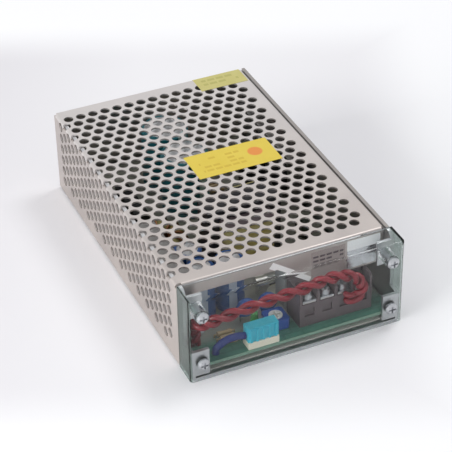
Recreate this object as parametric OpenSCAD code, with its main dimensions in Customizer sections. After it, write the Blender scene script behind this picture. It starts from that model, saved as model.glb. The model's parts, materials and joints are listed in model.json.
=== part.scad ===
// Switching power supply in a perforated metal case.
// The open terminal bay is at the front (-Y), +Z is up, and the origin is the
// centre of the footprint on the surface that the supply stands on.

/* [Case] */
// Overall width of the case
case_w = 98; // [96:1:110]
// Overall length, from the clear terminal cover to the rear flange
case_l = 160; // [160:1:180]
// Overall height of the case
case_h = 42; // [42:1:50]
// Length of the terminal bay ahead of the perforated cover
bay_l = 12.4; // [12:0.1:13]

/* [Sheet metal] */
// Thickness of the aluminium chassis
chassis_t = 1.5; // [1.2:0.1:1.8]
// Inside bend radius of the chassis
chassis_bend = 0.6; // [0.4:0.1:1]
// Thickness of the perforated steel cover
cover_t = 0.8; // [0.6:0.1:1]
// Inside bend radius of the perforated cover
cover_bend = 0.8; // [0.5:0.1:1]
// Gap between nested sheets
sheet_gap = 0.15; // [0.1:0.05:0.3]
// Gap between the cover's folded flanges and the floor
flange_lift = 1; // [0.5:0.1:2]
// Depth of the flange that tucks inside the right wall
tuck_h = 9; // [8:0.5:12]

/* [Perforation] */
// Diameter of each hole
hole_d = 4.5; // [3:0.1:5]
// Distance between neighbouring holes
hole_pitch = 6; // [5.8:0.1:8]
// Least plain margin to the hole centres at the front and rear edges
end_margin = 8.5; // [7:0.5:12]
// Least plain margin to the hole centres at the right edge
right_margin = 6.5; // [5:0.5:12]
// Least plain margin to the hole centres at the foot of the left flange
foot_margin = 6; // [5:0.5:12]
// Distance of the first hole from the left edge
lattice_start = 4.1; // [3.8:0.1:5]

/* [Front lip] */
// Gap between the lip and the top of the terminal block
lip_gap = 1.4; // [1:0.1:3]
// Depth of the lip beside the terminal block
lip_shallow = 6.4; // [5:0.1:9]
// Distance from the left edge to where the lip starts to deepen
lip_slope_start = 45; // [40:1:48]
// Width of the sloping part of the lip
lip_slope_w = 14.5; // [10:1:20]

/* [Chassis front] */
// Height of the low cheeks at the very front
cheek_h = 15; // [12:0.5:16]
// Width of the ears turned in from the side walls
ear_w = 6.5; // [6:0.1:7]
// Length of side wall that stands ahead of the perforated cover
wall_nose = 4.9; // [4:0.1:5]
// Height of the upper ears' lower edge above the lip's deep edge
ear_rise = 2; // [1:0.5:3]
// Distance of the upper ears below the top of the case
ear_drop = 3.5; // [3:0.5:4.5]
// Gap between the ears and the clear cover's front wall
ear_gap = 0.5; // [0.4:0.1:0.8]
// Chamfer on the front corners of the side walls
nose_chamfer = 3; // [1:0.5:3]

/* [Clear cover] */
// Thickness of the clear terminal cover
clear_t = 0.8; // [0.6:0.1:1]
// Corner radius of the clear cover
clear_r = 1.6; // [1.2:0.1:2]
// Gap between the clear cover and the perforated cover
clear_seam = 0.3; // [0.2:0.1:0.5]
// Diameter of the moulded screw posts
post_d = 6; // [5.4:0.1:6]

/* [Fasteners] */
// Diameter of the small screws
screw_d = 3; // [2.5:0.1:3]
// Clearance between a screw and its threaded hole, on the diameter
thread_play = 0.1; // [0.05:0.05:0.2]
// Clearance between a screw and its plain hole, on the diameter
hole_play = 0.4; // [0.3:0.1:0.6]
// Diameter of the pan heads
pan_head_d = 5.4; // [5:0.1:5.6]
// Height of the pan heads
pan_head_h = 1.7; // [1.2:0.1:2]

/* [Mounting holes] */
// Distance of the base holes from the sides of the case
base_hole_side = 10; // [9:0.5:14]
// Distance of the base holes from the ends of the case
base_hole_end = 20; // [18:1:25]
// Diameter of the threaded base holes
base_hole_d = 3; // [3:0.5:4]
// Distance of the two side holes from the ends of the case
side_hole_end = 20; // [18:1:25]
// Height of the side holes
side_hole_z = 21; // [18:0.5:24]
// Diameter of the threaded side holes
side_hole_d = 4; // [3:0.5:4]

/* [Circuit board] */
// Thickness of the circuit board
board_t = 1.6; // [1.2:0.1:1.8]
// Height of the standoffs under the board
standoff_h = 3; // [3:0.1:3.4]
// Diameter of the standoffs
standoff_d = 6; // [5:0.1:6.5]
// Gap between the board and the side walls
board_gap = 1; // [0.5:0.1:1.2]
// Gap between the board and the ears in front of it
board_front_gap = 0.3; // [0.2:0.1:1]
// Thickness of the insulating sheet under the board
film_t = 0.3; // [0.2:0.1:0.5]
// Distance of the board screws from the sides of the case
board_screw_side = 14; // [13.5:0.5:15]
// Distance of the board screws from the ends of the case
board_screw_end = 24; // [23.5:0.5:24.5]
// Gap between neighbouring components
part_gap = 2; // [1.8:0.1:2.2]

/* [Terminal block] */
// Number of screw terminals
poles = 4; // [3:1:4]
// Distance between terminals
pole_pitch = 8.2; // [7.6:0.1:8.2]
// Thickness of the barriers between terminals
barrier_t = 1.2; // [0.8:0.1:1.4]
// Depth of the block from front to back
block_l = 12.6; // [12:0.1:13]
// Height of the block and its barriers
block_h = 18; // [17:0.1:18.4]
// Height of the shelf that carries the contacts
shelf_h = 11.5; // [10:0.1:12]
// Distance of the block from the right wall
block_side = 8.5; // [6:0.5:12]
// Distance of the block behind the clear cover
block_setback = 6.9; // [6.9:0.1:7.2]
// Diameter of the terminal screw heads
terminal_head_d = 5.6; // [5:0.1:5.8]

/* [Trimmer] */
// Side of the square trimmer body
trim_w = 9.5; // [9:0.1:10]
// Height of the trimmer body
trim_h = 4.8; // [4.4:0.1:6]
// Diameter of the turning rotor
rotor_d = 6; // [5:0.1:6.6]
// Height of the rotor
rotor_h = 1.8; // [1.4:0.1:2.2]
// Running clearance round the rotor
rotor_play = 0.15; // [0.1:0.05:0.2]

/* [Wires] */
// Diameter of the red wires
wire_d = 2.5; // [1.8:0.1:2.5]
// Gap between the two twisted wires
wire_gap = 0.4; // [0.2:0.05:0.5]
// Diameter of the blue lead
lead_d = 3.2; // [2.4:0.1:3.2]

/* [Capacitors] */
// Diameter of the two mains reservoir capacitors
bulk_d = 22; // [18:0.5:22]
// Height of the reservoir capacitors
bulk_h = 30; // [25:0.5:32]
// Diameter of the output capacitors
out_cap_d = 12.5; // [10:0.1:12.5]
// Height of the output capacitors
out_cap_h = 25; // [20:0.5:30]
// Diameter of the small capacitors
aux_cap_d = 8; // [6.3:0.1:8]
// Height of the small capacitors
aux_cap_h = 11.5; // [9:0.5:16]

/* [Wound parts] */
// Width of the main transformer core
core_w = 35; // [33:0.5:35]
// Height of the main transformer core
core_h = 28; // [26:0.5:30]
// Thickness of the main transformer core
core_t = 11; // [9:0.5:12]
// Distance of the main transformer ahead of the middle of the case
core_ahead = 14; // [13:0.5:15]
// Distance of the main transformer right of the middle of the case
core_right = 3; // [2:0.5:4]
// Depth of the taped winding, from front to back
winding_l = 28; // [26:0.5:28]
// Diameter of the output choke, from centre to centre of its ring
choke_ring_d = 17; // [16:0.5:17.5]
// Diameter of the output choke's round section
choke_bar_d = 7; // [6:0.1:7.2]
// Turns of wire on the output choke
choke_turns = 14; // [8:1:14]
// Diameter of the choke wire
choke_wire_d = 1.2; // [0.8:0.1:1.3]

/* [Heatsinks] */
// Thickness of the heatsink plates
sink_t = 2.5; // [2:0.1:3]
// Clearance between the heatsinks and the perforated cover
sink_clear = 6.1; // [6:0.1:8]
// Width of the heatsinks' top flange
sink_flange = 8; // [6:0.5:8]
// Length of the output heatsink
out_sink_l = 50; // [46:1:52]
// Length of the mains heatsink
main_sink_l = 54; // [50:1:58]

/* [Labels] */
// Thickness of the stickers
label_t = 0.15; // [0.1:0.05:0.3]
// Distance of the yellow top label from the right edge
top_label_right = 18.7; // [12:0.1:30]
// Distance of the yellow top label from the rear edge
top_label_rear = 62; // [40:0.5:80]
// Length of the yellow top label
top_label_w = 40; // [30:1:45]
// Width of the yellow top label
top_label_l = 19; // [15:1:24]
// Width of the seal over the rear edge
seal_w = 24; // [18:1:26]
// Reach of the seal over each face
seal_reach = 12.5; // [8:0.5:14]

/* [Hidden] */
$fn = 48;
eps = 0.01;

// Outer faces of the case
left_x = -case_w / 2;
right_x = case_w / 2;
front_y = -case_l / 2;
rear_y = case_l / 2;

// Chassis channel, nested inside the covers
skin = max(cover_t, clear_t) + sheet_gap;
wall_out = case_w / 2 - skin;
wall_in = wall_out - chassis_t;
base_front = front_y + clear_t + ear_gap;
base_rear = rear_y - cover_t - sheet_gap;
cover_front = front_y + bay_l;
nose_y = cover_front - wall_nose;
wall_top = case_h - skin;
ear_x = wall_in - ear_w / 2;
low_screw_z = cheek_h - 6;
hole_x = 2 * (right_x - base_hole_side);
hole_y = 2 * (rear_y - base_hole_end);

// Perforated cover
bend_r = cover_bend + cover_t;
cover_right = wall_in - sheet_gap;
cover_len = rear_y - cover_front;
row_pitch = hole_pitch * sqrt(3) / 2;
row_count = floor((cover_len - 2 * end_margin) / row_pitch) + 1;
first_row = rear_y - (cover_len - (row_count - 1) * row_pitch) / 2;
bend_arc = (cover_bend + cover_t / 2) * PI / 2;
tuck_screw_z = case_h - 5;
tuck_screw_y = rear_y - 25;

// Circuit board
board_w = 2 * (wall_in - board_gap);
board_front = base_front + chassis_t + board_front_gap;
board_rear = base_rear - 2;
board_z = chassis_t + standoff_h;
board_top = board_z + board_t;
screw_x = right_x - board_screw_side;
screw_y = rear_y - board_screw_end;

// Terminal block, right of the middle of the board's front
block_w = poles * pole_pitch + barrier_t;
block_right = wall_in - block_side;
block_left = block_right - block_w;
block_front = front_y + clear_t + block_setback;
block_rear = block_front + block_l;
shelf_l = block_l - 5;
contact_t = 0.8;
contact_inset = 0.3;
washer_w = min(pole_pitch - barrier_t - 0.8, terminal_head_d + 0.6);
terminal_y = block_front + shelf_l - contact_inset - contact_t - 0.1 - washer_w / 2;

// Heights that stack up over the terminal block
lip_z = board_top + block_h + lip_gap;
ear_low = lip_z + ear_rise;
ear_high = case_h - ear_drop;
post_z = (ear_low + ear_high) / 2;

// Plug on the front edge of the board
plug_x = left_x + 34.5;
plug_w = 14;
plug_l = 6;
header_h = 3.4;
plug_h = 7;
plug_y = board_front + 3.2;

// Trimmer beside the terminal block and behind the plug
trim_back = 0.55;
trim_x = block_left - trim_w / 2 - part_gap - 1.25;
trim_y = plug_y + plug_l / 2 + trim_back + trim_w / 2;

// Heatsinks stand beside the walls
sink_gap = 2;
sink_in = wall_in - sink_gap - sink_t;
sink_top = case_h - cover_t - sink_clear;
out_sink_y = front_y + 19.5;
main_sink_y = rear_y - 20 - main_sink_l;
tab_t = 1.3;
to220_w = 10;
to220_h = 15;
to220_t = 4.5;
to220_z = board_top + 4;
package_in = sink_in - to220_t;

// Main transformer
core_x = core_right;
core_y = -core_ahead;
yoke_h = 4;
leg_w = 5.5;
centre_leg = 11;
core_lift = 2;
wind_fit = 0.2;
flange_t = 1;
window_h = core_h - 2 * yoke_h;
bobbin_w = core_w - 2 * leg_w - 2 * wind_fit;

// Twisted red wires: hand-laid route from a terminal, over the bay and down to the board
wire_off = (wire_d + wire_gap) / 2;
wire_rise = board_top + 0.3;
wire_y = front_y + clear_t + 3.9;
wire_end = -wall_in + 6;
wire_mid = wall_in / 46.5;
wire_foot = board_top + shelf_h - 1.5;
wire_pts = [
  [25.4 * wire_mid, block_front - 0.2, wire_foot], [25.6 * wire_mid, wire_y + 1.25, wire_foot],
  [27.5 * wire_mid, wire_y + 0.25, wire_foot + 0.1], [30.4 * wire_mid, wire_y, wire_foot + 1.5],
  [31.6 * wire_mid, wire_y, 21.2], [30 * wire_mid, wire_y, 25.2], [25.4 * wire_mid, wire_y, 28.8],
  [18 * wire_mid, wire_y, 30.4], [11 * wire_mid, wire_y, 29.8], [3 * wire_mid, wire_y, 28.8],
  [-6 * wire_mid, wire_y, 28.2], [-15 * wire_mid, wire_y, 27.6], [-25 * wire_mid, wire_y, 26.8],
  [-34 * wire_mid, wire_y, 25.8],
  [wire_end + 0.5, wire_y + 1.5, 24], [wire_end - 1, wire_y + 7, 21],
  [wire_end, wire_y + 10.5, 15], [wire_end, wire_y + 11, wire_rise + 3],
  [wire_end, wire_y + 11, wire_rise]
];
wire_steps = 5;
wire_turns = 8;
twist_from = 14;

// Components in front: mains filter, fuse and output capacitors
x_cap_w = 22;
x_cap_t = 9;
x_cap_h = 18;
x_cap_x = core_x + 1;
x_cap_y = block_rear + part_gap;
y_cap_d = 9;
y_cap_t = 4;
y_cap_x = core_x - 17;
y_cap_y = block_rear + y_cap_t / 2 + 0.2;
fuse_d = 5.2;
fuse_l = 20;
fuse_x = core_x + 4;
fuse_y = x_cap_y + x_cap_t + part_gap + fuse_d / 2 + 0.6;
fuse_z = board_top + 5.5;
line_ring_d = 15;
line_bar_d = 6;
line_wire_d = 0.9;
line_r = (line_ring_d + line_bar_d) / 2 + line_wire_d + 0.1;
line_x = wall_in - part_gap - line_r;
line_y = x_cap_y + x_cap_t + part_gap + line_r;
thermistor_d = 11;
thermistor_t = 4.4;
thermistor_y = line_y + line_r + part_gap + thermistor_d / 2;
out_cap_x = -package_in + part_gap + out_cap_d / 2;
out_cap_y = -screw_y + pan_head_d / 2 + part_gap + out_cap_d / 2;
out_cap_step = out_cap_d + part_gap / 2;

// Components in the middle: output choke and driver transformer
choke_r = (choke_ring_d + choke_bar_d) / 2 + choke_wire_d + 0.1;
choke_x = -sink_in + part_gap / 2 + choke_r;
choke_y = core_y + core_t / 2 + part_gap / 2 + choke_r;
driver_w = 19;
driver_h = 15;
driver_l = 14;
driver_leg = 2.6;
driver_post = 5;
driver_x = core_x + 17;
driver_y = core_y + winding_l / 2 + driver_l / 2 + 3 * part_gap;

// Components at the rear: reservoir capacitors, bridge and control
bulk_x = core_x - 7;
bulk_y = rear_y - 14 - bulk_d / 2;
bulk_step = bulk_d + part_gap;
bridge_w = 12;
bridge_t = 3.6;
bridge_h = 15;
bridge_leg = 3;
bridge_x = package_in - 1.5 - bridge_w;
bridge_y = rear_y - 50;
load_w = 18;
load_l = 9;
load_x = bulk_x + bulk_d / 2 + part_gap;
load_y = rear_y - 35;
aux_cap_x = -board_w / 2 + part_gap + aux_cap_d / 2;
aux_cap_y = rear_y - 49;
aux_cap_step = aux_cap_d + 1.5 * part_gap;
chip_w = 6.4;
chip_x = -screw_x + pan_head_d / 2 + part_gap + chip_w / 2 + 0.4;
chip_y = rear_y - 35;
chip_l = 20;
opto_l = 4.8;
opto_y = chip_y - chip_l / 2 - part_gap - opto_l / 2;

// Blue lead: from the plug to the left side of the board
lead_pts = [
  [plug_x - plug_w / 2 - 0.4, plug_y, 12], [plug_x - plug_w / 2 - 4, plug_y, 12.8],
  [plug_x - plug_w / 2 - 8.5, plug_y + 0.3, 12.2], [plug_x - plug_w / 2 - 12.2, plug_y + 0.7, 9.8],
  [plug_x - plug_w / 2 - 13.2, plug_y + 0.9, wire_rise + 1.6], [plug_x - plug_w / 2 - 13.2, plug_y + 0.9, wire_rise]
];

// ---------- helpers ----------

// Runs children along X between two places, with their outline in Y and Z
module along_x(x0, x1) {
  translate([x0, 0, 0]) rotate([90, 0, 90]) linear_extrude(x1 - x0) children();
}

// Runs children along Y between two places, with their outline in X and Z
module along_y(y0, y1) {
  translate([0, y1, 0]) rotate([90, 0, 0]) linear_extrude(y1 - y0) children();
}

// A box between two corners
module block(a, b) {
  translate(a) cube(b - a);
}

// One drill hole along Z
module drill(x, y, z0, z1, d) {
  translate([x, y, z0]) cylinder(d = d, h = z1 - z0);
}

// Copies children to the four corners of a rectangle
module corners(sx, sy) {
  for (x = [-sx / 2, sx / 2], y = [-sy / 2, sy / 2]) translate([x, y, 0]) children();
}

// A quarter of a ring in two dimensions, for a bend
module bend_section(r_in, t) {
  intersection() {
    difference() {
      circle(r = r_in + t);
      circle(r = r_in);
    }
    square(r_in + t);
  }
}

// A U-shaped sheet section with round lower bends
module channel_section(w, h, r) {
  translate([-w / 2, r]) square([w, h - r]);
  translate([-w / 2 + r, 0]) square([w - 2 * r, r]);
  for (s = [-1, 1]) translate([s * (w / 2 - r), r]) circle(r = r);
}

// Pan-head screw, head up, with its seat at z = 0
module pan_screw(len, d = screw_d, head_d = pan_head_d, head_h = pan_head_h) {
  difference() {
    union() {
      cylinder(d = head_d, h = head_h * 0.5);
      translate([0, 0, head_h * 0.5]) cylinder(d1 = head_d, d2 = head_d * 0.66, h = head_h * 0.5);
    }
    for (a = [0, 90]) rotate([0, 0, a])
      translate([-head_d * 0.3, -head_d * 0.07, head_h * 0.45])
        cube([head_d * 0.6, head_d * 0.14, head_h]);
  }
  translate([0, 0, -len]) cylinder(d = d, h = len);
}

// Flat-head screw with its top at z = 0
module flat_screw(len) {
  difference() {
    translate([0, 0, -flat_h]) cylinder(d1 = screw_d, d2 = flat_d, h = flat_h);
    for (a = [0, 90]) rotate([0, 0, a]) translate([-flat_d * 0.3, -0.35, -0.6]) cube([flat_d * 0.6, 0.7, 1]);
  }
  translate([0, 0, -len]) cylinder(d = screw_d, h = len - flat_h);
}
flat_d = screw_d + 2.2;
flat_h = 1.1;

// ---------- case ----------

module chassis() {
  color("silver") difference() {
    union() {
      along_y(base_front, base_rear) difference() {
        channel_section(2 * wall_out, case_h, chassis_bend + chassis_t);
        translate([0, chassis_t]) channel_section(2 * wall_in, case_h, chassis_bend);
      }
      for (s = [-1, 1]) scale([s, 1, 1]) {
        block([wall_in - ear_w, base_front, chassis_t + 1], [wall_in + eps, base_front + chassis_t, cheek_h]);
        block([wall_in - ear_w, nose_y, ear_low], [wall_in + eps, nose_y + chassis_t, ear_high]);
      }
    }
    // The left wall and both noses stay under the covers, the right wall is flush
    block([left_x, front_y, wall_top], [0, rear_y, case_h + 1]);
    block([0, front_y, wall_top], [right_x, cover_front, case_h + 1]);
    // The walls step down to low cheeks ahead of their noses
    for (s = [-1, 1]) scale([s, 1, 1]) along_x(wall_in - eps, wall_out + 1) polygon([
      [front_y, cheek_h], [nose_y, cheek_h], [nose_y, wall_top - nose_chamfer],
      [nose_y + nose_chamfer, wall_top + eps], [nose_y + nose_chamfer, case_h + 1], [front_y, case_h + 1]]);
    // The left wall's rear corner clears the bend of the cover's rear flange
    along_x(-wall_out - 1, -wall_in + eps) polygon([
      [base_rear - cover_bend, wall_top + eps], [base_rear + eps, wall_top - cover_bend],
      [base_rear + eps, wall_top + eps]]);
    for (s = [-1, 1]) {
      translate([s * ear_x, front_y, low_screw_z]) rotate([-90, 0, 0])
        cylinder(d = screw_d + thread_play, h = 5);
      translate([s * ear_x, nose_y - 1, post_z]) rotate([-90, 0, 0])
        cylinder(d = screw_d + thread_play, h = 5);
    }
    corners(hole_x, hole_y) drill(0, 0, -1, chassis_t + 1, base_hole_d);
    for (y = [-1, 1]) {
      translate([wall_in - 1, y * (rear_y - side_hole_end), side_hole_z]) rotate([0, 90, 0])
        cylinder(d = side_hole_d, h = chassis_t + 2);
      translate([wall_in - 1, y * tuck_screw_y, tuck_screw_z]) rotate([0, 90, 0])
        cylinder(d = screw_d + hole_play, h = chassis_t + 2);
      translate([wall_out - flat_h - 0.05, y * tuck_screw_y, tuck_screw_z]) rotate([0, 90, 0])
        cylinder(d1 = screw_d + hole_play, d2 = flat_d + hole_play, h = flat_h + 0.05);
    }
  }
}

// Drills one hole of the lattice at u along the unfolded sheet: u runs from the
// start of the left bend, positive over the top and negative down the flange
module lattice_hole(u, y) {
  if (u >= 0)
    drill(left_x + bend_r + u, y, case_h - 2 * cover_t, case_h + 1, hole_d);
  else if (u > -bend_arc)
    translate([left_x + bend_r, y, case_h - bend_r]) rotate([0, 90 * u / bend_arc, 0])
      cylinder(d = hole_d, h = 2 * bend_r);
  else
    translate([left_x - 1, y, case_h - bend_r + u + bend_arc]) rotate([0, 90, 0])
      cylinder(d = hole_d, h = 1 + 2 * cover_t);
}

module mesh_cover() {
  u_first = lattice_start - bend_r;
  u_right = cover_right - right_margin - (left_x + bend_r);
  u_foot = -bend_arc - (case_h - bend_r - flange_lift - foot_margin);
  lip_left = -wall_in + sheet_gap;
  flange_left = left_x + cover_t + sheet_gap;
  color("tan") difference() {
    union() {
      // Top, left bend, tucked right flange
      along_y(cover_front + bend_r, rear_y - bend_r) {
        translate([left_x + bend_r, case_h - cover_t])
          square([cover_right - left_x - 2 * bend_r, cover_t]);
        translate([left_x + bend_r, case_h - bend_r]) mirror([1, 0]) bend_section(cover_bend, cover_t);
        translate([cover_right - bend_r, case_h - bend_r]) bend_section(cover_bend, cover_t);
        translate([cover_right - cover_t, case_h - tuck_h]) square([cover_t, tuck_h - bend_r]);
      }
      block([left_x, cover_front, flange_lift], [left_x + cover_t, rear_y, case_h - bend_r]);
      // Front lip, deep over the terminal block and shallow beside it
      along_x(lip_left, cover_right - bend_r)
        translate([cover_front + bend_r, case_h - bend_r]) mirror([1, 0]) bend_section(cover_bend, cover_t);
      along_y(cover_front, cover_front + cover_t) polygon([
        [lip_left, case_h - bend_r], [lip_left, case_h - lip_shallow],
        [left_x + lip_slope_start, case_h - lip_shallow],
        [left_x + lip_slope_start + lip_slope_w, lip_z],
        [cover_right - bend_r, lip_z], [cover_right - bend_r, case_h - bend_r]]);
      // Rear flange, over the ends of both walls
      along_x(flange_left, cover_right - bend_r)
        translate([rear_y - bend_r, case_h - bend_r]) bend_section(cover_bend, cover_t);
      block([flange_left, rear_y - cover_t, flange_lift], [wall_out, rear_y, case_h - bend_r]);
    }
    for (i = [0 : row_count - 1]) {
      y = first_row - i * row_pitch;
      u_row = u_first + (i % 2 == 0 ? 0 : -hole_pitch / 2);
      k_first = ceil((u_foot - u_row) / hole_pitch);
      k_last = floor((u_right - u_row) / hole_pitch);
      for (k = [k_first : k_last]) lattice_hole(u_row + k * hole_pitch, y);
    }
    for (y = [-1, 1]) translate([cover_right - 2 * cover_t, y * tuck_screw_y, tuck_screw_z])
      rotate([0, 90, 0]) cylinder(d = screw_d + thread_play, h = 4 * cover_t);
  }
}

// Solid with rounded front corners and a rounded top front edge
module clear_form(inset) {
  w = case_w - 2 * inset;
  y0 = front_y + inset;
  y1 = inset > 0 ? cover_front + 1 : cover_front - clear_seam;
  z1 = case_h - inset;
  r = clear_r - inset;
  intersection() {
    translate([0, 0, -1]) linear_extrude(case_h + 2) {
      translate([-w / 2, y0 + r]) square([w, y1 - y0 - r]);
      translate([-w / 2 + r, y0]) square([w - 2 * r, r]);
      for (s = [-1, 1]) translate([s * (w / 2 - r), y0 + r]) circle(r = r);
    }
    along_x(left_x - 1, right_x + 1) {
      z0 = inset > 0 ? -1 : flange_lift / 2;
      translate([y0 + r, z0]) square([y1 - y0 - r, z1 - z0]);
      translate([y0, z0]) square([r, z1 - r - z0]);
      translate([y0 + r, z1 - r]) circle(r = r);
    }
  }
}

module clear_cover() {
  color("lightcyan", 0.4) difference() {
    union() {
      difference() {
        clear_form(0);
        clear_form(clear_t);
      }
      for (s = [-1, 1]) intersection() {
        translate([s * ear_x, front_y + clear_t / 2, post_z]) rotate([-90, 0, 0])
          cylinder(d = post_d, h = nose_y - front_y - clear_t / 2 - sheet_gap);
        clear_form(0);
      }
    }
    for (s = [-1, 1], z = [post_z, low_screw_z]) translate([s * ear_x, front_y - 1, z])
      rotate([-90, 0, 0]) cylinder(d = screw_d + hole_play, h = bay_l);
  }
}

module clear_cover_long_screws() {
  color("gainsboro") for (s = [-1, 1]) translate([s * ear_x, front_y, post_z])
    rotate([90, 0, 0]) pan_screw(nose_y - front_y + chassis_t + 1.5);
}

module clear_cover_short_screws() {
  color("gainsboro") for (s = [-1, 1]) translate([s * ear_x, front_y, low_screw_z])
    rotate([90, 0, 0]) pan_screw(clear_t + ear_gap + chassis_t + 1.5);
}

module cover_screws() {
  color("gainsboro") for (y = [-1, 1]) translate([wall_out, y * tuck_screw_y, tuck_screw_z])
    rotate([0, 90, 0]) flat_screw(chassis_t + sheet_gap + cover_t + 1.5);
}

// ---------- board ----------

module insulation_sheet() {
  color("ivory", 0.8) difference() {
    block([-wall_in + chassis_bend + 0.2, base_front + chassis_t + 1, chassis_t],
      [wall_in - chassis_bend - 0.2, base_rear - 2, chassis_t + film_t]);
    corners(2 * screw_x, 2 * screw_y) drill(0, 0, 0, board_z, standoff_d + 1);
    corners(hole_x, hole_y) drill(0, 0, 0, board_z, base_hole_d + 1);
  }
}

module circuit_board() {
  color("seagreen") difference() {
    block([-board_w / 2, board_front, board_z], [board_w / 2, board_rear, board_top]);
    corners(2 * screw_x, 2 * screw_y) drill(0, 0, 0, case_h, screw_d + hole_play);
  }
}

module standoffs() {
  color("goldenrod") corners(2 * screw_x, 2 * screw_y) difference() {
    drill(0, 0, chassis_t, board_z, standoff_d);
    drill(0, 0, chassis_t - 1, board_z + 1, screw_d + thread_play);
  }
}

module board_screws() {
  color("silver") corners(2 * screw_x, 2 * screw_y) translate([0, 0, board_top])
    pan_screw(board_t + standoff_h - 0.5);
}

// ---------- terminal bay ----------

// Places children at the middle of each terminal's shelf
module at_poles() {
  for (i = [0 : poles - 1])
    translate([block_left + barrier_t / 2 + (i + 0.5) * pole_pitch, terminal_y, board_top + shelf_h])
      children();
}

module terminal_block() {
  color("#1d1d1f") difference() {
    union() {
      along_x(block_left, block_right) polygon([
        [block_front, board_top], [block_front + block_l, board_top],
        [block_front + block_l, board_top + block_h - 1], [block_front + block_l - 1, board_top + block_h],
        [block_front + shelf_l, board_top + block_h], [block_front + shelf_l, board_top + shelf_h],
        [block_front, board_top + shelf_h]]);
      for (i = [0 : poles]) along_x(block_left + i * pole_pitch, block_left + i * pole_pitch + barrier_t)
        polygon([
          [block_front, board_top], [block_front + shelf_l + 1, board_top],
          [block_front + shelf_l + 1, board_top + block_h], [block_front + 1.5, board_top + block_h],
          [block_front, board_top + block_h - 1.5]]);
    }
    at_poles() translate([0, 0, -6]) cylinder(d = screw_d + hole_play, h = 8);
    // Slots under each contact where the wire clamps pass
    at_poles() translate([0, block_front - terminal_y, -4.5]) cube([pole_pitch - barrier_t - 2.4, 2, 4], center = true);
  }
}

module terminal_contacts() {
  w = pole_pitch - barrier_t - 0.8;
  color("silver") at_poles() difference() {
    union() {
      translate([-w / 2, block_front - terminal_y + contact_inset, 0]) cube([w, shelf_l - 2 * contact_inset, contact_t]);
      translate([-w / 2, block_front - terminal_y + shelf_l - contact_inset - contact_t, 0]) cube([w, contact_t, 4]);
    }
    translate([0, 0, -1]) cylinder(d = screw_d + thread_play, h = 3);
  }
}

module terminal_screws() {
  color("gainsboro") at_poles() translate([0, 0, contact_t]) {
    difference() {
      translate([-washer_w / 2, -washer_w / 2, 0]) cube([washer_w, washer_w, 0.6]);
      translate([0, 0, -1]) cylinder(d = screw_d + thread_play, h = 3);
    }
    translate([0, 0, 0.6]) pan_screw(5.6, head_d = terminal_head_d, head_h = 2.2);
  }
}

module trimmer_body() {
  color("royalblue") translate([trim_x, trim_y, board_top]) difference() {
    translate([-trim_w / 2, -trim_w / 2, 0]) cube([trim_w, trim_w, trim_h]);
    translate([0, 0, trim_h - rotor_h - rotor_play]) cylinder(d = rotor_d + 2 * rotor_play, h = rotor_h + 1);
    for (a = [0, 90, 180, 270]) rotate([0, 0, a]) translate([trim_w / 2, trim_w / 2, trim_h])
      rotate([0, 0, 45]) cube([1.4, 1.4, 2 * trim_h + 1], center = true);
  }
}

module trimmer_rotor() {
  slot_w = rotor_d * 0.16;
  color("white") translate([trim_x, trim_y, board_top + trim_h - rotor_h]) difference() {
    cylinder(d = rotor_d, h = rotor_h + 0.4);
    for (a = [0, 90]) rotate([0, 0, a]) translate([-rotor_d * 0.36, -slot_w / 2, rotor_h * 0.5])
      cube([rotor_d * 0.72, slot_w, rotor_h]);
    translate([rotor_d * 0.43, 0, rotor_h + 0.2]) cylinder(d = 0.6, h = 1);
  }
}

// A lamp of 3 mm on two short legs
module led_indicator() {
  lamp_r = 1.5;
  leg_h = 5;
  color("limegreen") translate([trim_x - trim_w / 2 - 5, trim_y, board_top]) {
    translate([0, 0, leg_h]) rotate_extrude() {
      square([lamp_r + 0.3, 1]);
      square([lamp_r, 3.6]);
      translate([0, 3.6]) intersection() {
        circle(r = lamp_r);
        square(lamp_r);
      }
    }
    for (x = [-1.27, 0.77]) translate([x, -0.25, 0]) cube([0.5, 0.5, leg_h + 0.5]);
  }
}

module plug_header() {
  color("ivory") block([plug_x - plug_w / 2, plug_y - plug_l / 2, board_top],
    [plug_x + plug_w / 2, plug_y + plug_l / 2, board_top + header_h]);
}

module control_plug() {
  rib_pitch = plug_w / 5;
  color("darkturquoise") translate([plug_x, plug_y, board_top + header_h]) {
    translate([-plug_w / 2, -plug_l / 2 + 0.6, 0]) cube([plug_w, plug_l - 1.2, plug_h]);
    for (i = [0 : 4], s = [-1, 1])
      translate([(i - 2) * rib_pitch - 0.5, s > 0 ? plug_l / 2 - 0.7 : -plug_l / 2, 0]) cube([1, 0.7, plug_h - 0.6]);
  }
}

// ---------- wires ----------

function spline(p0, p1, p2, p3, t) =
  0.5 * (2 * p1 + (p2 - p0) * t + (2 * p0 - 5 * p1 + 4 * p2 - p3) * t * t
  + (3 * p1 - p0 - 3 * p2 + p3) * t * t * t);
function at(pts, i) = pts[max(0, min(len(pts) - 1, i))];
function route(pts, steps) = [
  for (i = [0 : len(pts) - 2], s = [0 : steps - 1])
    spline(at(pts, i - 1), at(pts, i), at(pts, i + 1), at(pts, i + 2), s / steps),
  at(pts, len(pts) - 1)];
function unit(v) = v / norm(v);
function heading(pts, i) = unit(at(pts, i + 1) - at(pts, i - 1));
function side(pts, i) = unit(cross(heading(pts, i), [1, 1, 1]));
function twist(pts, r, turns, phase) = [
  for (i = [0 : len(pts) - 1])
    let (t = max(0, min(1, (i - twist_from) / (len(pts) - twist_from - 5))), a = phase + 360 * turns * t,
         u = side(pts, i), v = cross(heading(pts, i), u))
    pts[i] + r * (cos(a) * u + sin(a) * v)];

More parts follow.
